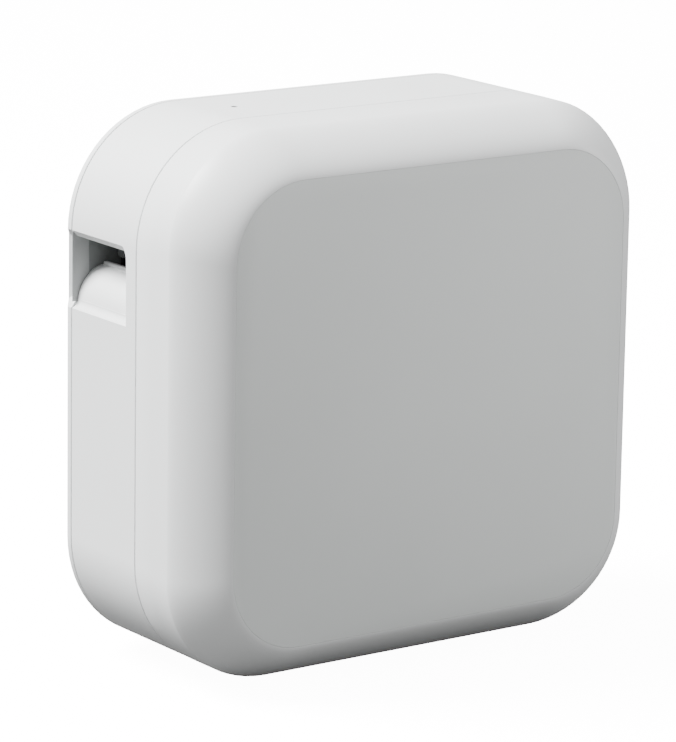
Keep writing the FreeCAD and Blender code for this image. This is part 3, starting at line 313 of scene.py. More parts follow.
def range_node(tree, value, low, high, to_low, to_high):
    node = tree.nodes.new("ShaderNodeMapRange")
    tree.links.new(value, node.inputs["Value"])
    limits = (("From Min", low), ("From Max", high), ("To Min", to_low), ("To Max", to_high))
    for label, number in limits:
        if isinstance(number, (int, float)):
            node.inputs[label].default_value = number
        else:
            tree.links.new(number, node.inputs[label])
    return node.outputs["Result"]


def mix_colour(tree, share, first, second):
    node = tree.nodes.new("ShaderNodeMix")
    node.data_type = "RGBA"
    tree.links.new(share, node.inputs["Factor"])
    for socket, value in ((node.inputs["A"], first), (node.inputs["B"], second)):
        if isinstance(value, tuple):
            socket.default_value = value
        else:
            tree.links.new(value, socket)
    return node.outputs["Result"]


def build_moulded_grain():
    """Spark-eroded mould texture: a fine height, a slow tone drift and a roughness drift."""
    inputs = [
        ("Vector", "NodeSocketVector", (0, 0, 0)),
        ("Grain Scale", "NodeSocketFloat", 3200.0),
        ("Tone", "NodeSocketColor", (0.8, 0.8, 0.8, 1)),
        ("Drift", "NodeSocketFloat", 0.03),
        ("Roughness", "NodeSocketFloat", 0.4),
    ]
    outputs = [
        ("Colour", "NodeSocketColor"),
        ("Roughness", "NodeSocketFloat"),
        ("Height", "NodeSocketFloat"),
    ]
    group, start, end = new_group("moulded_grain", inputs, outputs)
    fine = noise_node(group, start.outputs["Vector"], start.outputs["Grain Scale"], 2.0, 0.6)
    coarse_scale = math_node(group, "MULTIPLY", start.outputs["Grain Scale"], 0.31)
    coarse = noise_node(group, start.outputs["Vector"], coarse_scale, 1.0)
    slow = noise_node(group, start.outputs["Vector"], 38.0, 3.0)
    height = math_node(group, "ADD", fine, math_node(group, "MULTIPLY", coarse, 0.6))
    low = math_node(group, "SUBTRACT", 1.0, start.outputs["Drift"])
    tone = range_node(group, slow, 0.3, 0.7, low, 1.0)
    darker = group.nodes.new("ShaderNodeVectorMath")
    darker.operation = "SCALE"
    group.links.new(start.outputs["Tone"], darker.inputs[0])
    group.links.new(tone, darker.inputs["Scale"])
    drift = math_node(group, "MULTIPLY", math_node(group, "SUBTRACT", fine, 0.5), 0.16)
    slow_drift = math_node(group, "MULTIPLY", math_node(group, "SUBTRACT", slow, 0.5), 0.12)
    both = math_node(group, "ADD", drift, slow_drift)
    rough = math_node(group, "ADD", start.outputs["Roughness"], both, clamp=True)
    group.links.new(darker.outputs["Vector"], end.inputs["Colour"])
    group.links.new(rough, end.inputs["Roughness"])
    group.links.new(height, end.inputs["Height"])
    return group


def build_handling_dust():
    """Faint dust and finger marks, more on faces that look up."""
    inputs = [
        ("Vector", "NodeSocketVector", (0, 0, 0)),
        ("Colour", "NodeSocketColor", (0.8, 0.8, 0.8, 1)),
        ("Dust", "NodeSocketColor", (0.62, 0.6, 0.56, 1)),
        ("Amount", "NodeSocketFloat", 0.08),
    ]
    outputs = [("Colour", "NodeSocketColor"), ("Mask", "NodeSocketFloat")]
    group, start, end = new_group("handling_dust", inputs, outputs)
    geometry = group.nodes.new("ShaderNodeNewGeometry")
    parts = group.nodes.new("ShaderNodeSeparateXYZ")
    group.links.new(geometry.outputs["Normal"], parts.inputs[0])
    upward = range_node(group, parts.outputs["Z"], -0.2, 1.0, 0.25, 1.0)
    patches = noise_node(group, start.outputs["Vector"], 90.0, 5.0, 0.65)
    spots = range_node(group, patches, 0.48, 0.72, 0.0, 1.0)
    amount = math_node(group, "MULTIPLY", start.outputs["Amount"], upward)
    mask = math_node(group, "MULTIPLY", amount, spots, clamp=True)
    mixed = mix_colour(group, mask, start.outputs["Colour"], start.outputs["Dust"])
    group.links.new(mixed, end.inputs["Colour"])
    group.links.new(mask, end.inputs["Mask"])
    return group


def build_brushed_lines():
    """Long fine scratches along one axis, for drawn or ground metal."""
    inputs = [
        ("Vector", "NodeSocketVector", (0, 0, 0)),
        ("Stretch", "NodeSocketVector", (1.0, 0.04, 1.0)),
        ("Tone", "NodeSocketColor", (0.6, 0.6, 0.6, 1)),
        ("Roughness", "NodeSocketFloat", 0.3),
    ]
    outputs = [
        ("Colour", "NodeSocketColor"),
        ("Roughness", "NodeSocketFloat"),
        ("Height", "NodeSocketFloat"),
    ]
    group, start, end = new_group("brushed_lines", inputs, outputs)
    stretched = group.nodes.new("ShaderNodeVectorMath")
    stretched.operation = "MULTIPLY"
    group.links.new(start.outputs["Vector"], stretched.inputs[0])
    group.links.new(start.outputs["Stretch"], stretched.inputs[1])
    lines = noise_node(group, stretched.outputs["Vector"], 5200.0, 3.0, 0.6)
    stains = noise_node(group, start.outputs["Vector"], 210.0, 3.0)
    tone = range_node(group, lines, 0.3, 0.7, 0.84, 1.06)
    shade = group.nodes.new("ShaderNodeVectorMath")
    shade.operation = "SCALE"
    group.links.new(start.outputs["Tone"], shade.inputs[0])
    group.links.new(tone, shade.inputs["Scale"])
    add = math_node(group, "MULTIPLY", math_node(group, "SUBTRACT", lines, 0.5), 0.25)
    more = math_node(group, "MULTIPLY", math_node(group, "SUBTRACT", stains, 0.45), 0.25)
    rough = math_node(group, "ADD", start.outputs["Roughness"], math_node(group, "ADD", add, more), clamp=True)
    group.links.new(shade.outputs["Vector"], end.inputs["Colour"])
    group.links.new(rough, end.inputs["Roughness"])
    group.links.new(lines, end.inputs["Height"])
    return group


grain_group = build_moulded_grain()
dust_group = build_handling_dust()
brush_group = build_brushed_lines()


def place_group(tree, group, values):
    node = tree.nodes.new("ShaderNodeGroup")
    node.node_tree = group
    for label, value in values.items():
        if isinstance(value, (int, float, tuple)):
            node.inputs[label].default_value = value
        else:
            tree.links.new(value, node.inputs[label])
    return node


def start_material(name):
    material = bpy.data.materials.new(name)
    material.use_nodes = True
    tree = material.node_tree
    shader = tree.nodes["Principled BSDF"]
    coordinates = tree.nodes.new("ShaderNodeTexCoord")
    return material, tree, shader, coordinates.outputs["Object"]


def add_bump(tree, shader, height, strength, distance):
    bump = tree.nodes.new("ShaderNodeBump")
    bump.inputs["Strength"].default_value = strength
    bump.inputs["Distance"].default_value = distance * MM
    tree.links.new(height, bump.inputs["Height"])
    tree.links.new(bump.outputs["Normal"], shader.inputs["Normal"])


def plastic(name, tone, roughness, grain=3200.0, bump=0.12, dust=0.06, drift=0.03, specular=0.5, coat=0.0):
    """Moulded plastic with its own grain, tone drift and a little dust."""
    material, tree, shader, vector = start_material(name)
    values = {"Vector": vector, "Grain Scale": grain, "Tone": (*tone, 1.0), "Drift": drift, "Roughness": roughness}
    grained = place_group(tree, grain_group, values)
    dusty = place_group(tree, dust_group, {"Vector": vector, "Colour": grained.outputs["Colour"], "Amount": dust})
    rougher = math_node(tree, "ADD", grained.outputs["Roughness"], dusty.outputs["Mask"], clamp=True)
    tree.links.new(dusty.outputs["Colour"], shader.inputs["Base Color"])
    tree.links.new(rougher, shader.inputs["Roughness"])
    shader.inputs["Specular IOR Level"].default_value = specular
    shader.inputs["Coat Weight"].default_value = coat
    shader.inputs["Coat Roughness"].default_value = 0.2
    add_bump(tree, shader, grained.outputs["Height"], bump, 0.02)
    return material


def metal(name, tone, roughness, stretch=(1.0, 0.04, 1.0), bump=0.1):
    """Drawn, ground or plated metal."""
    material, tree, shader, vector = start_material(name)
    values = {"Vector": vector, "Stretch": stretch, "Tone": (*tone, 1.0), "Roughness": roughness}
    lines = place_group(tree, brush_group, values)
    tree.links.new(lines.outputs["Colour"], shader.inputs["Base Color"])
    tree.links.new(lines.outputs["Roughness"], shader.inputs["Roughness"])
    shader.inputs["Metallic"].default_value = 1.0
    add_bump(tree, shader, lines.outputs["Height"], bump, 0.01)
    return material


def clear_plastic(name, tone, roughness):
    material, tree, shader, vector = start_material(name)
    specks = noise_node(tree, vector, 900.0, 2.0)
    rough = range_node(tree, specks, 0.3, 0.7, roughness, roughness + 0.08)
    tree.links.new(rough, shader.inputs["Roughness"])
    first = (*tone, 1.0)
    second = (tone[0] * 0.86, tone[1] * 0.88, tone[2] * 0.92, 1.0)
    tree.links.new(mix_colour(tree, specks, first, second), shader.inputs["Base Color"])
    shader.inputs["Transmission Weight"].default_value = 0.6
    shader.inputs["IOR"].default_value = 1.49
    return material


def printed_board(name):
    """Solder mask with copper tracks that show through as slightly lighter lines."""
    material, tree, shader, vector = start_material(name)
    bricks = tree.nodes.new("ShaderNodeTexBrick")
    swap = tree.nodes.new("ShaderNodeMapping")
    swap.inputs["Rotation"].default_value = (math.pi / 2, 0, 0)
    tree.links.new(vector, swap.inputs["Vector"])
    tree.links.new(swap.outputs["Vector"], bricks.inputs["Vector"])
    bricks.inputs["Scale"].default_value = 260.0
    bricks.inputs["Mortar Size"].default_value = 0.09
    bricks.inputs["Color1"].default_value = (0.012, 0.12, 0.045, 1)
    bricks.inputs["Color2"].default_value = (0.014, 0.14, 0.055, 1)
    bricks.inputs["Mortar"].default_value = (0.04, 0.26, 0.1, 1)
    values = {"Vector": vector, "Colour": bricks.outputs["Color"], "Amount": 0.1}
    dusty = place_group(tree, dust_group, values)
    tree.links.new(dusty.outputs["Colour"], shader.inputs["Base Color"])
    rough = range_node(tree, noise_node(tree, vector, 500.0, 2.0), 0.3, 0.7, 0.28, 0.42)
    tree.links.new(rough, shader.inputs["Roughness"])
    shader.inputs["Coat Weight"].default_value = 0.3
    add_bump(tree, shader, bricks.outputs["Fac"], 0.25, 0.05)
    return material


def cell_sleeve(name, node):
    """Battery: dark sleeve with a bright, part-metallic band at each end."""
    low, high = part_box(node)
    material, tree, shader, vector = start_material(name)
    parts = tree.nodes.new("ShaderNodeSeparateXYZ")
    tree.links.new(vector, parts.inputs[0])
    half = (high.x - low.x) / 2
    along = math_node(tree, "ABSOLUTE", parts.outputs["X"], 0.0)
    band = math_node(tree, "GREATER_THAN", along, half * 0.76)
    values = {"Vector": vector, "Grain Scale": 1500.0, "Tone": (0.05, 0.055, 0.065, 1), "Roughness": 0.34}
    dark = place_group(tree, grain_group, values)
    colour = mix_colour(tree, band, dark.outputs["Colour"], (0.55, 0.3, 0.1, 1.0))
    tree.links.new(colour, shader.inputs["Base Color"])
    tree.links.new(dark.outputs["Roughness"], shader.inputs["Roughness"])
    tree.links.new(math_node(tree, "MULTIPLY", band, 0.7), shader.inputs["Metallic"])
    add_bump(tree, shader, dark.outputs["Height"], 0.05, 0.02)
    return material


def wound_tape(name, node, tone, axis_point):
    """Wound roll: fine rings round its own axis on the end faces."""
    material, tree, shader, vector = start_material(name)
    centre = tree.nodes.new("ShaderNodeMapping")
    centre.inputs["Location"].default_value = (-axis_point[0], 0, -axis_point[1])
    tree.links.new(vector, centre.inputs["Vector"])
    flat = tree.nodes.new("ShaderNodeVectorMath")
    flat.operation = "MULTIPLY"
    flat.inputs[1].default_value = (1, 0, 1)
    tree.links.new(centre.outputs["Vector"], flat.inputs[0])
    length = tree.nodes.new("ShaderNodeVectorMath")
    length.operation = "LENGTH"
    tree.links.new(flat.outputs["Vector"], length.inputs[0])
    wave = math_node(tree, "SINE", math_node(tree, "MULTIPLY", length.outputs["Value"], 21000.0), 0.0)
    ring = range_node(tree, wave, -1.0, 1.0, 0.0, 1.0)
    shade = (tone[0] * 0.72, tone[1] * 0.72, tone[2] * 0.74, 1.0)
    tree.links.new(mix_colour(tree, ring, shade, (*tone, 1.0)), shader.inputs["Base Color"])
    rough = range_node(tree, noise_node(tree, vector, 300.0, 3.0), 0.3, 0.7, 0.3, 0.5)
    tree.links.new(rough, shader.inputs["Roughness"])
    add_bump(tree, shader, ring, 0.2, 0.03)
    return material


def build_materials():
    white = (0.80, 0.815, 0.815)
    looks = {
        "white_plastic": plastic("white_plastic", white, 0.42, 3000.0, 0.08, 0.03, 0.012, 0.5),
        "panel_plastic": plastic("panel_plastic", (0.745, 0.77, 0.76), 0.6, 3600.0, 0.16, 0.02, 0.02, 0.4),
        # Grey for the sheet at the rear of the left opening: painted shade over the white flange there.
        "painted_shade_plastic": plastic("painted_shade_plastic", (0.33, 0.34, 0.34), 0.55, 2800.0, 0.1, 0.03, 0.02, 0.4),
        # Grey for the lever, which is white plastic: a darker copy of the white, as painted shade.
        "painted_shade_lever": plastic("painted_shade_lever", (0.6, 0.61, 0.61), 0.42, 2800.0, 0.1, 0.03, 0.02, 0.4),
        # Dark grey for the liner behind the left opening and for the cover ribs, both white plastic: painted shade
        # for their dim insides.
        "painted_shade_interior": plastic("painted_shade_interior", (0.2, 0.21, 0.21), 0.55, 2800.0, 0.1, 0.03, 0.02, 0.4),
        "pipe_plastic": plastic("pipe_plastic", (0.03, 0.032, 0.034), 0.25, 2800.0, 0.02, 0.03, 0.02, 0.5),
        "rubber": plastic("rubber", (0.035, 0.035, 0.037), 0.72, 2200.0, 0.35, 0.3, 0.1, 0.3),
        "frame_plastic": plastic("frame_plastic", (0.045, 0.047, 0.05), 0.45, 2600.0, 0.2, 0.12, 0.08),
        "black_plastic": plastic("black_plastic", (0.02, 0.02, 0.021), 0.38, 2600.0, 0.15, 0.12, 0.08),
        "gear_plastic": plastic("gear_plastic", (0.72, 0.69, 0.6), 0.36, 2400.0, 0.08, 0.05, 0.03),
        "cassette_plastic": plastic("cassette_plastic", (0.33, 0.35, 0.37), 0.4, 2800.0, 0.14, 0.05, 0.04),
        "cable": plastic("cable", (0.66, 0.63, 0.54), 0.45, 1800.0, 0.05, 0.05, 0.03),
        "lead_sleeve": plastic("lead_sleeve", (0.32, 0.02, 0.018), 0.42, 1800.0, 0.05, 0.05, 0.03),
        "ceramic": plastic("ceramic", (0.62, 0.58, 0.5), 0.22, 2800.0, 0.04, 0.03, 0.02, 0.5, 0.4),
        "tape": plastic("tape", (0.85, 0.85, 0.83), 0.26, 1600.0, 0.03, 0.02, 0.01, 0.5, 0.3),
        "steel": metal("steel", (0.56, 0.56, 0.57), 0.34),
        "blade_steel": metal("blade_steel", (0.66, 0.66, 0.68), 0.2, (1.0, 1.0, 0.05)),
        "brass": metal("brass", (0.8, 0.57, 0.24), 0.28),
        "aluminium": metal("aluminium", (0.72, 0.73, 0.74), 0.38),
        "spring_steel": metal("spring_steel", (0.68, 0.67, 0.66), 0.24),
        "shield": metal("shield", (0.6, 0.6, 0.58), 0.32, (0.04, 1.0, 1.0)),
        "board": printed_board("board"),
        "clear_plastic": clear_plastic("clear_plastic", (0.82, 0.85, 0.86), 0.12),
        "cell_label": cell_sleeve("cell_label", "battery_cells"),
    }
    return looks


looks = build_materials()


# ---- casing ----
def rim_sections(steps=16):
    """From the panel's edge to the crease, along the rim's superellipse."""
    made = []
    for i in range(steps, -1, -1):
        turn = math.pi / 2 * i / steps
        y = Y_CREASE - RIM_LENGTH * math.sin(turn) ** RIM_POWER
        inset = RIM_STEP + RIM_INSET * (1 - max(0.0, math.cos(turn)) ** RIM_POWER)
        made.append((inset, RIM_CORNER - CORNER_RATE * (inset - RIM_STEP), y))
    return made


def make_front_casing():
    edge = RIM_STEP + RIM_INSET
    rim = rim_sections()
    corner = rim[0][1]
    pocket = [(edge, corner, Y_FRONT + PANEL), (edge, corner, Y_FRONT + PANEL_EDGE)]
    side = [
        (0.12, CORNER - 0.6, (Y_CREASE + Y_SEAM) / 2),
        (0.0, CORNER, Y_SEAM - SEAM_GAP / 2 - EDGE),
        (EDGE * 0.3, CORNER, Y_SEAM - SEAM_GAP / 2 - EDGE * 0.3),
        (EDGE, CORNER - EDGE, Y_SEAM - SEAM_GAP / 2),
        (WALL - 1.1, CORNER - 1.1, Y_SEAM - SEAM_GAP / 2),
        (WALL - 1.1, CORNER - 1.1, Y_SEAM - 2.4),
        (WALL + 0.6, CORNER - WALL - 0.6, Y_SEAM - 2.4),
        (WALL + 0.6, CORNER - WALL - 0.6, Y_CREASE),
        (WALL + 6.4, CORNER - 8.0, Y_FRONT + PANEL + 2.1),
    ]
    return loft(pocket + rim + side, "casing_front", cap_start=True, cap_end=True, crease_at=Y_CREASE)


def make_panel():
    edge = RIM_STEP + RIM_INSET + 0.04
    corner = RIM_CORNER - CORNER_RATE * (edge - RIM_STEP)
    sections = [
        (edge, corner, Y_FRONT + PANEL),
        (edge, corner, Y_FRONT + PANEL_EDGE),
        (edge + PANEL_EDGE * 0.3, corner, Y_FRONT + PANEL_EDGE * 0.3),
        (edge + PANEL_EDGE, corner - PANEL_EDGE, Y_FRONT),
    ]
    return loft(sections, "panel_plate", cap_start=True, cap_end=True)


def recess_profile(reach):
    """Side view (x, z) of the opening in the left wall: ramp, ceiling and bevel."""
    radius = 1.8
    lip = []
    for i in range(9):
        turn = math.radians(78.0 - 78.0 * i / 8)
        lip.append((LEFT + radius * (math.cos(turn) - math.cos(math.radians(78.0))),
                    RECESS_LOW + radius * (math.sin(math.radians(78.0)) - math.sin(turn))))
    return [
        (LEFT - 1.0, RECESS_LOW - 0.2),
        *lip,
        (reach, RECESS_LOW + 1.77),
        (reach, CEILING),
        (LEFT + 1.2, CEILING),
        (LEFT, RECESS_HIGH),
        (LEFT - 1.0, RECESS_HIGH + 1.1),
    ]


def cut_recess(bm):
    """Opening in the wall: slanted lower lip, bevelled ceiling, rounded front upper corner."""
    made = add_prism(bm, recess_profile(LEFT + 3.7), "Y", RECESS_Y, Y_COVER + 1.0)
    bmesh.ops.recalc_face_normals(bm, faces=bm.faces)
    corner = []
    for edge in bm.edges:
        ends = [v.co for v in edge.verts]
        at_front = all(abs(c.y - RECESS_Y) < 0.01 for c in ends)
        at_top = all(c.z > CEILING - 0.01 for c in ends)
        if at_front and at_top:
            corner.append(edge)
    bmesh.ops.bevel(
        bm, geom=corner, offset=2.0, segments=8, profile=0.5, affect="EDGES", material=-1, clamp_overlap=False
    )
    return made


def cut_lever_clearance(bm):
    add_rod(bm, (LEVER_X, RECESS_Y, LEVER_Z), (LEVER_X, Y_COVER + 1, LEVER_Z), LEVER_RADIUS + 0.35, 96)


def round_cut(start, end, radius, segments=64):
    def build(bm):
        add_rod(bm, start, end, radius, segments)
    return build


def make_middle_casing():
    y0 = Y_SEAM + SEAM_GAP / 2
    y1 = Y_COVER - SEAM_GAP / 2
    tongue = WALL - 0.95
    sections = [
        (EDGE, CORNER - EDGE, y0),
        (EDGE * 0.3, CORNER, y0 + EDGE * 0.3),
        (0.0, CORNER, y0 + EDGE),
        (0.0, CORNER, y1 - EDGE),
        (EDGE * 0.3, CORNER, y1 - EDGE * 0.3),
        (EDGE, CORNER - EDGE, y1),
        (WALL, CORNER - WALL, y1),
        (WALL, CORNER - WALL, Y_SEAM - 2.3),
        (tongue, CORNER - tongue, Y_SEAM - 2.3),
        (tongue, CORNER - tongue, y0),
    ]
    casing = loft(sections, "casing_middle", loop=True)
    button_low, button_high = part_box("power_button")
    inlet_low, inlet_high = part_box("dc_inlet")
    pipe_low, pipe_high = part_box("light_pipe")
    button = (button_low + button_high) / 2 / MM
    inlet_z = (inlet_low.z + inlet_high.z) / 2 / MM
    pipe = (pipe_low + pipe_high) / 2 / MM
    cut_away(
        casing,
        cut_recess,
        cut_lever_clearance,
        round_cut((RIGHT - 5, button.y, button.z), (RIGHT + 5, button.y, button.z), 5.85),
        round_cut((RIGHT - 5, 2.0, inlet_z), (RIGHT + 5, 2.0, inlet_z), 4.0),
        round_cut((pipe.x, pipe.y, HIGH.z - 5), (pipe.x, pipe.y, HIGH.z + 5), 0.78, 32),
    )
    return soften(casing, 0.15)


def make_recess_liner():
    """Walls behind the left opening, with the slot that the tape leaves through."""
    bm = bmesh.new()
    y1 = Y_COVER - SEAM_GAP / 2
    start = LEFT + WALL - 0.3
    tape_low, tape_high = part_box("tape_strip")
    add_block(bm, start, INNER_WALL, RECESS_Y - 1.4, RECESS_Y, RECESS_LOW - 9.0, CEILING + 1.4)
    add_block(bm, start, INNER_WALL, RECESS_Y, y1, CEILING, CEILING + 1.4)
    slot_y0 = tape_low.y / MM - 0.8
    slot_y1 = tape_high.y / MM + 0.8
    wall_x = LEFT + 11.0
    low = RECESS_LOW + 9.6
    add_block(bm, wall_x, INNER_WALL, RECESS_Y, y1, low, TAPE_Z - 1.3)
    add_block(bm, wall_x, INNER_WALL, RECESS_Y, y1, TAPE_Z + 1.6, CEILING)
    add_block(bm, wall_x, INNER_WALL, RECESS_Y, slot_y0, TAPE_Z - 1.3, TAPE_Z + 1.6)
    add_block(bm, wall_x, INNER_WALL, slot_y1, y1, TAPE_Z - 1.3, TAPE_Z + 1.6)
    bevel_hard_edges(bm, 0.12)
    return finish_mesh(bm, "recess_liner", 50.0)


def back_sections(thickness):
    """Shoulder, chamfer and rounded back edge, moved in by the wall's thickness."""
    shift = thickness * 0.62
    y1 = Y_SHOULDER - shift
    y2 = Y_BACK - BACK_ROUND - shift
    slope = math.tan(math.radians(CHAMFER_ANGLE))
    chamfer = (Y_BACK - BACK_ROUND - Y_SHOULDER) * slope
    start = math.radians(CHAMFER_ANGLE)
    radius = BACK_ROUND / (1 - math.sin(start))
    made = [(thickness, CORNER - thickness, y1)]
    reach = thickness + chamfer
    for share in (0.25, 0.5, 0.75, 1.0):
        inset = thickness + chamfer * share
        corner = (CORNER - thickness) * (1 - share) + (CORNER - CORNER_RATE * reach) * share
        made.append((inset, corner, y1 + (y2 - y1) * share))
    steps = 9
    for i in range(1, steps + 1):
        turn = start + (math.pi / 2 - start) * i / steps
        inset = reach + radius * (math.cos(start) - math.cos(turn))
        y = y2 + radius * (math.sin(turn) - math.sin(start))
        made.append((inset, CORNER - CORNER_RATE * inset, y))
    return made


def cut_scoop(bm):
    """Finger scoop that carries the recess on through the cover's edge."""
    profile = [
        (LEFT - 5, RECESS_LOW - 8.6),
        (LEFT, RECESS_LOW),
        (LEFT + 1.3, RECESS_LOW + 1.7),
        (LEFT + 2.6, RECESS_LOW + 4.3),
        (LEFT + 6, RECESS_LOW + 4.6),
        (LEFT + 6, CEILING),
        (LEFT + 1.2, CEILING),
        (LEFT, RECESS_HIGH),
        (LEFT - 5, RECESS_HIGH + 5.4),
    ]
    add_prism(bm, profile, "Y", Y_COVER - 1.5, Y_BACK + 1)


def limit_scoop(bm):
    flange = Y_COVER + SEAM_GAP / 2 + 0.15
    plan = [
        (LEFT - 6, Y_COVER - 3),
        (LEFT + 2.6, Y_COVER - 3),
        (LEFT + 2.6, flange),
        (LEFT + 1.2, flange + 2.2),
        (LEFT - 6, flange + 12.2),
    ]
    add_prism(bm, plan, "Z", RECESS_LOW - 14, RECESS_HIGH + 14)


def scoop_tool(bm):
    """The scoop's side profile kept only where its plan allows."""
    cut_scoop(bm)
    keep = bmesh.new()
    limit_scoop(keep)
    first = finish_mesh(bm.copy(), "scoop_side")
    second = finish_mesh(keep, "scoop_plan")
    both = first.modifiers.new("keep", "BOOLEAN")
    both.operation = "INTERSECT"
    both.solver = "EXACT"
    both.object = second
    graph = bpy.context.evaluated_depsgraph_get()
    mesh = bpy.data.meshes.new_from_object(first.evaluated_get(graph))
    bm.clear()
    bm.from_mesh(mesh)
    bmesh.ops.scale(bm, vec=(1 / MM, 1 / MM, 1 / MM), verts=bm.verts)
    bpy.data.objects.remove(first)
    bpy.data.objects.remove(second)
    bpy.data.meshes.remove(mesh)


def make_back_casing():
    y0 = Y_COVER + SEAM_GAP / 2
    outer = back_sections(0.0)[::-1]
    shoulder = outer.pop()
    edge = [
        (shoulder[0] + 0.06, shoulder[1], shoulder[2] + 0.10),
        (shoulder[0], shoulder[1], shoulder[2] - 0.04),
        (0.0, CORNER, y0 + EDGE),
        (EDGE * 0.3, CORNER, y0 + EDGE * 0.3),
        (EDGE, CORNER - EDGE, y0),
        (WALL, CORNER - WALL, y0),
    ]
    inner = back_sections(WALL)
    casing = loft(outer + edge + inner, "casing_back", cap_start=True, cap_end=True)
    tab_low, tab_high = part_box("cover_latch")
    window = (-8.35, 8.35, Y_COVER, Y_BACK + 1, tab_low.z / MM - 1.85, tab_low.z / MM + 5.35)

    def cut_window(bm):
        add_block(bm, *window)

    cut_away(casing, scoop_tool, cut_window)
    return soften(casing, 0.15)


def make_cover_inside():
    """Locating lip, cut away beside the opening and at the top; the flange behind the lever and the ribs that hold
    cassette and cells come from make_cover_ribs.
    """
    y0 = Y_COVER + SEAM_GAP / 2
    gap = WALL + 0.3
    sections = [
        (gap, CORNER - gap, Y_COVER - 2.0),
        (gap, CORNER - gap, y0 + 1.0),
        (gap + 1.2, CORNER - gap - 1.2, y0 + 1.0),
        (gap + 1.2, CORNER - gap - 1.2, Y_COVER - 2.0),
    ]
    lip = loft(sections, "cover_lip", loop=True)

    def cut_left(bm):
        add_block(bm, LEFT, LEFT + 20, Y_COVER - 4, y0, RECESS_LOW - 12, RECESS_HIGH + 4)

    def cut_top(bm):
        add_block(bm, -12, 12, Y_COVER - 4, y0, HIGH.z - 8, HIGH.z)

    cut_away(lip, cut_left, cut_top)
    return soften(lip, 0.1)


def make_cover_ribs():
    bm = bmesh.new()
    y0 = Y_COVER + SEAM_GAP / 2
    flange = y0 + 0.15
    plan = [
        (LEFT + 2.6, flange),
        (INNER_WALL, flange),
        (INNER_WALL, flange + 1.5),
        (LEFT + 3.6, flange + 1.5),
        (LEFT + 1.3, flange + 2.2),
    ]
    add_prism(bm, plan, "Z", RECESS_LOW - 9, CEILING + 2)
    rib_end = Y_BACK - WALL * 0.62 + 0.1
    low, high = (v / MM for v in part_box("cassette_lid"))
    for x in (low.x + 14, high.x - 14):
        add_block(bm, x - 0.8, x + 0.8, high.y + 0.4, rib_end, low.z + 8, high.z - 8)
    cells_low, cells_high = (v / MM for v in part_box("battery_cells"))
    middle = (cells_low.z + cells_high.z) / 2
    for x in (-26.0, 26.0):
        add_block(bm, x - 0.8, x + 0.8, cells_high.y + 0.4, rib_end, middle - 4, middle + 7)
    bevel_hard_edges(bm, 0.12)
    return finish_mesh(bm, "cover_ribs", 50.0)


def make_lever():
    """Quarter-round thumb lever with a rib along its top and closed ends."""
    low, high = (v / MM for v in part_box("cutter_lever"))
    bm = bmesh.new()
    outer = []
    inner = []
    steps = 44
    for i in range(steps + 1):
        angle = math.radians(76 + (232 - 76) * i / steps)
        outer.append((LEVER_X + LEVER_RADIUS * math.cos(angle), LEVER_Z + LEVER_RADIUS * math.sin(angle)))
        inner.append((LEVER_X + 5.4 * math.cos(angle), LEVER_Z + 5.4 * math.sin(angle)))
    add_prism(bm, outer + inner[::-1], "Y", low.y, high.y)
    for y in (low.y, high.y - 1.5):
        add_prism(bm, inner + [(LEVER_X + 0.5, LEVER_Z - 2.3), (LEVER_X + 2.2, LEVER_Z + 1.0)], "Y", y, y + 1.5)
    bevel_hard_edges(bm, 0.22, 3, 60.0)
    rib = bmesh.new()
    x = LEVER_X - 1.3
    add_block(rib, x, x + 1.0, low.y + 0.02, high.y - 0.02, LEVER_Z + LEVER_RADIUS - 1.0, high.z)
    bevel_hard_edges(rib, 0.3, 4)
    mesh = bpy.data.meshes.new("rib")
    rib.to_mesh(mesh)
    rib.free()
    bm.from_mesh(mesh)
    bpy.data.meshes.remove(mesh)
    middle = (low.y + high.y) / 2
    add_rod(bm, (LEVER_X, middle - 1.6, LEVER_Z), (LEVER_X, middle + 1.6, LEVER_Z), 2.3)
    tip = (LEVER_X + 6.5 * math.cos(math.radians(14)), LEVER_Z - 6.5 * math.sin(math.radians(14)))
    add_rod(bm, (tip[0], middle - 1.6, tip[1]), (tip[0], middle + 1.6, tip[1]), 1.4, 32)
    arm = add_block(bm, LEVER_X + 1.5, LEVER_X + 6.0, middle - 1.6, middle + 1.6, LEVER_Z - 1.1, LEVER_Z + 1.1)
    turn = Matrix.Rotation(math.radians(14), 3, "Y")
    bmesh.ops.rotate(bm, cent=(LEVER_X, 0, LEVER_Z), matrix=turn, verts=arm)
    add_block(bm, LEVER_X - 5.9, LEVER_X, middle - 1.6, middle + 1.6, LEVER_Z - 1.0, LEVER_Z + 1.0)
    return finish_mesh(bm, "thumb_lever", 40.0)


def make_lever_gap_painted_shadow():
    """Thin black arc round the lever's rear end: painted shadow for the clearance gap there."""
    y = Y_COVER - 0.08
    outer = []
    inner = []
    for i in range(33):
        angle = math.radians(84.0 + 97.0 * i / 32)
        outer.append((LEVER_X + 7.38 * math.cos(angle), LEVER_Z + 7.38 * math.sin(angle)))
        inner.append((LEVER_X + 6.7 * math.cos(angle), LEVER_Z + 6.7 * math.sin(angle)))
    bm = bmesh.new()
    add_prism(bm, outer + inner[::-1], "Y", y, y + 0.06)
    return finish_mesh(bm, "lever_gap_painted_shadow", 40.0)


def make_opening_painted_shade():
    """Grey sheet that closes the rear end of the opening beside the lever: painted shade over the white flange
    behind it.
    """
    bm = bmesh.new()
    plan = [
        (LEFT + 0.22, RECESS_LOW + 1.3),
        (LEFT + 4.2, RECESS_LOW + 1.3),
        (LEFT + 4.2, CEILING),
        (LEFT + 1.2, CEILING),
        (LEFT + 0.22, RECESS_HIGH - 0.22),
    ]
    add_prism(bm, plan, "Y", Y_COVER, Y_COVER + 0.1)
    return finish_mesh(bm, "opening_painted_shade", 40.0)


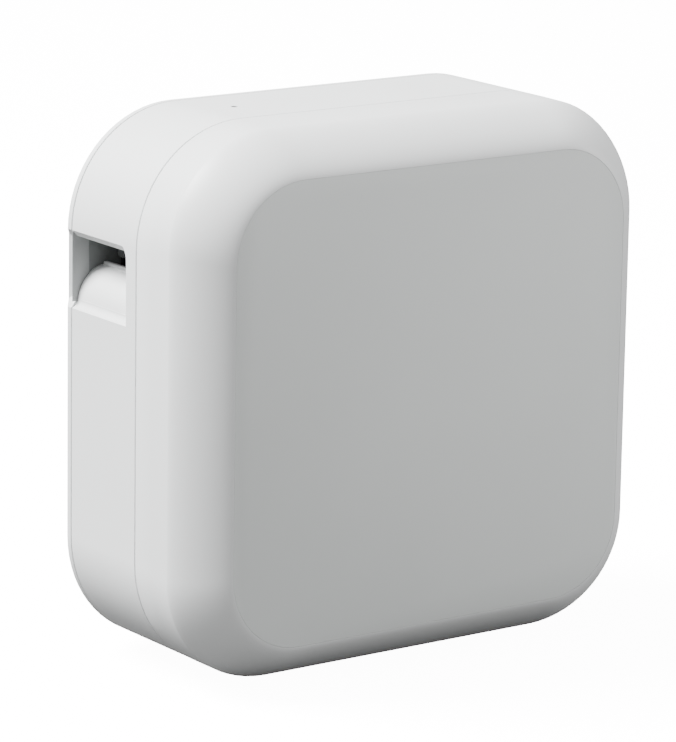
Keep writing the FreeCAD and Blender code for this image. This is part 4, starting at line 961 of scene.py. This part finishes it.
def make_latch():
    """Ribbed finger tab with its arm and hook."""
    low, high = (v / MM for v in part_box("cover_latch"))
    face = high.y
    bm = bmesh.new()
    add_block(bm, low.x, high.x, face - 2.0, face - 0.6, low.z, low.z + 5.0)
    for i in range(4):
        z = low.z + 0.75 + i * 1.17
        add_block(bm, low.x + 1.2, high.x - 1.2, face - 0.9, face, z - 0.28, z + 0.28)
    add_block(bm, -5, 5, face - 4.6, face - 1.6, low.z + 0.6, low.z + 3.0)
    add_block(bm, -5, 5, face - 6.0, face - 4.4, low.z + 0.6, low.z + 5.8)
    add_block(bm, -5, 5, low.y, face - 4.6, low.z + 4.2, low.z + 5.8)
    add_block(bm, -5, 5, low.y, low.y + 1.4, low.z + 4.2, high.z)
    bevel_hard_edges(bm, 0.14)
    return finish_mesh(bm, "latch_tab", 40.0)


def turned(profile, centre, axis, name, segments=96):
    """Spins a profile of (along, radius) points round an axis through centre."""
    bm = bmesh.new()
    verts = [bm.verts.new((radius, 0, along)) for along, radius in profile]
    edges = [bm.edges.new(pair) for pair in zip(verts, verts[1:])]
    bmesh.ops.spin(
        bm, geom=verts + edges, cent=(0, 0, 0), axis=(0, 0, 1), angle=2 * math.pi, steps=segments, use_merge=True
    )
    bmesh.ops.remove_doubles(bm, verts=bm.verts, dist=0.001)
    turn = Vector(axis).to_track_quat("Z", "Y").to_matrix().to_4x4()
    bmesh.ops.transform(bm, matrix=Matrix.Translation(centre) @ turn, verts=bm.verts)
    return finish_mesh(bm, name, 40.0)


def make_button():
    low, high = (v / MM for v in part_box("power_button"))
    centre = ((low.x + high.x) / 2, (low.y + high.y) / 2, (low.z + high.z) / 2)
    face = RIGHT - 0.2 - centre[0]
    back = low.x - centre[0]
    dish = []
    for i in range(9):
        radius = 4.9 * i / 8
        dish.append((face - 0.45 * (1 - (radius / 4.9) ** 2) - 0.03, radius))
    edge = []
    for i in range(7):
        turn = math.pi / 2 * i / 6
        edge.append((face - 0.5 + 0.5 * math.cos(turn), 5.0 + 0.5 * math.sin(turn)))
    flange = [(face - 1.9, 5.5), (face - 1.95, 6.7), (face - 3.2, 6.7), (face - 3.25, 1.8), (back, 1.8), (back, 0.0)]
    return turned(dish + edge + flange, centre, (1, 0, 0), "power_key")


def make_feet():
    low, high = (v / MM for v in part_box("rubber_feet"))
    radius = 2.6
    bm = bmesh.new()
    for x in (low.x + radius, high.x - radius):
        for y in (low.y + radius, high.y - radius):
            made = add_rod(bm, (x, y, 0.0), (x, y, high.z), radius, 64)
            base = {e for v in made if v.co.z < 0.01 for e in v.link_edges if all(w.co.z < 0.01 for w in e.verts)}
            bmesh.ops.bevel(
                bm, geom=list(base), offset=0.4, segments=4, profile=0.5, affect="EDGES", material=-1
            )
    return finish_mesh(bm, "rubber_pads", 40.0)


def finish_copy(node, name, width=0.1, above=35.0):
    """Merged copy of a working part's mesh with small broken edges."""
    source = frame["nodes"][node]
    mesh = source.data.copy()
    mesh.name = name
    bm = bmesh.new()
    bm.from_mesh(mesh)
    bmesh.ops.remove_doubles(bm, verts=bm.verts, dist=0.000001)
    flat = math.radians(1.0)
    bmesh.ops.dissolve_limit(bm, angle_limit=flat, use_dissolve_boundaries=False, verts=bm.verts, edges=bm.edges)
    for face in bm.faces:
        face.smooth = True
    for edge in bm.edges:
        edge.smooth = edge.calc_face_angle(0.0) < math.radians(above)
    bm.to_mesh(mesh)
    bm.free()
    piece = bpy.data.objects.new(name, mesh)
    bpy.context.scene.collection.objects.link(piece)
    if width:
        bevel = piece.modifiers.new("broken edge", "BEVEL")
        bevel.width = width * MM
        bevel.segments = 2
        bevel.limit_method = "ANGLE"
        bevel.angle_limit = math.radians(above)
    return piece


def main():
    body_of = {n: b for b, nodes in frame["record"]["behaviour"]["bodies"].items() for n in nodes}
    slot_of = {s["node"]: s["material_slot"] for s in frame["record"]["subparts"]}
    white = looks["white_plastic"]
    settle(make_front_casing(), "case", white, "front_shell", slot="white_plastic")
    settle(make_panel(), "case", looks["panel_plastic"], "front_panel", slot="panel_plastic")
    settle(make_middle_casing(), "case", white, "middle_shell", slot="white_plastic")
    # Recess liner: white plastic, painted dark grey as painted shade inside the opening.
    settle(make_recess_liner(), "case", looks["painted_shade_interior"], slot="white_plastic")
    # Thin black arc: painted shadow in the clearance gap round the lever's rear end.
    settle(make_lever_gap_painted_shadow(), "cover", looks["black_plastic"], slot="black_plastic")
    # Grey sheet: painted shade at the rear end of the opening, over the white flange.
    settle(make_opening_painted_shade(), "cover", looks["painted_shade_plastic"], slot="white_plastic")
    settle(make_back_casing(), "cover", white, "back_cover", slot="white_plastic")
    settle(make_cover_inside(), "cover", white, slot="white_plastic")
    # Cover ribs: white plastic, painted dark grey as painted shade.
    settle(make_cover_ribs(), "cover", looks["painted_shade_interior"], slot="white_plastic")
    # Lever: white plastic, painted grey as painted shade.
    settle(make_lever(), "lever", looks["painted_shade_lever"], "cutter_lever", slot="white_plastic")
    settle(make_latch(), "latch", white, "cover_latch", slot="white_plastic")
    settle(make_button(), "button", white, "power_button", slot="white_plastic")
    settle(make_feet(), "case", looks["rubber"], "rubber_feet", slot="rubber")
    for node, part in frame["nodes"].items():
        if part.hide_render:
            continue
        part.data.materials.clear()
        part.data.materials.append(looks.get(slot_of[node], white))
    pipe = frame["nodes"]["light_pipe"].data
    pipe.materials.clear()
    pipe.materials.append(looks["pipe_plastic"])
    rolls = {"tape_roll": (0.8, 0.8, 0.78), "film_roll": (0.05, 0.05, 0.055)}
    for node, tone in rolls.items():
        low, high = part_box(node)
        axis_point = ((low.x + high.x) / 2, (low.z + high.z) / 2)
        part = frame["nodes"][node]
        part.data.materials.clear()
        part.data.materials.append(wound_tape("wound_" + node, node, tone, axis_point))


main()


# ---- stage, light and camera ----
def area_light(name, place, target, size, power, colour=(1, 1, 1)):
    light = bpy.data.lights.new(name, "AREA")
    light.shape = "RECTANGLE"
    light.size = size[0]
    light.size_y = size[1]
    light.energy = power
    light.color = colour
    holder = bpy.data.objects.new(name, light)
    holder.location = place
    way = Vector(target) - Vector(place)
    holder.rotation_mode = "QUATERNION"
    holder.rotation_quaternion = way.to_track_quat("-Z", "Y")
    bpy.context.scene.collection.objects.link(holder)


def make_floor():
    bm = bmesh.new()
    bmesh.ops.create_grid(bm, x_segments=1, y_segments=1, size=3.0)
    mesh = bpy.data.meshes.new("floor")
    bm.to_mesh(mesh)
    bm.free()
    floor = bpy.data.objects.new("floor", mesh)
    bpy.context.scene.collection.objects.link(floor)
    material, tree, shader, vector = start_material("pale_floor")
    seen = mix_colour(tree, noise_node(tree, vector, 3.0, 2.0), (0.9, 0.9, 0.9, 1), (0.94, 0.94, 0.94, 1))
    path = tree.nodes.new("ShaderNodeLightPath")
    tone = mix_colour(tree, path.outputs["Is Camera Ray"], (0.06, 0.06, 0.06, 1), seen)
    tree.links.new(tone, shader.inputs["Base Color"])
    tree.links.new(seen, shader.inputs["Emission Color"])
    glow = math_node(tree, "MULTIPLY", path.outputs["Is Camera Ray"], 14.0)
    tree.links.new(glow, shader.inputs["Emission Strength"])
    shader.inputs["Roughness"].default_value = 0.9
    floor.data.materials.append(material)


def make_world():
    world = bpy.data.worlds.new("studio")
    bpy.context.scene.world = world
    world.use_nodes = True
    world.node_tree.nodes["Background"].inputs["Color"].default_value = (1, 1, 1, 1)
    world.node_tree.nodes["Background"].inputs["Strength"].default_value = 0.8


def make_camera():
    """Long lens from the front left, a little above, with a slight roll."""
    azimuth = math.radians(-35.636)
    elevation = math.radians(13.221)
    roll = math.radians(0.917)
    distance = 0.9137
    target = Vector((-2.357, -0.5, 57.7)) * MM
    back = Vector(
        (
            math.sin(azimuth) * math.cos(elevation),
            -math.cos(azimuth) * math.cos(elevation),
            math.sin(elevation),
        )
    )
    right = Vector((0, 0, 1)).cross(back).normalized()
    up = back.cross(right)
    turned_right = right * math.cos(roll) + up * math.sin(roll)
    turned_up = up * math.cos(roll) - right * math.sin(roll)
    data = bpy.data.cameras.new("camera")
    data.sensor_width = 36.0
    data.lens = 212.6
    camera = bpy.data.objects.new("camera", data)
    place = target + back * distance
    camera.matrix_world = Matrix(
        (
            (turned_right.x, turned_up.x, back.x, place.x),
            (turned_right.y, turned_up.y, back.y, place.y),
            (turned_right.z, turned_up.z, back.z, place.z),
            (0, 0, 0, 1),
        )
    )
    bpy.context.scene.collection.objects.link(camera)
    bpy.context.scene.camera = camera


make_floor()
make_world()
make_camera()
area_light("key", (-0.76, 0.50, 1.15), (0, 0, 0.06), (0.7, 0.7), 95.0)
area_light("fill", (1.12, -0.7, 0.48), (0, 0, 0.06), (0.7, 0.7), 11.0)
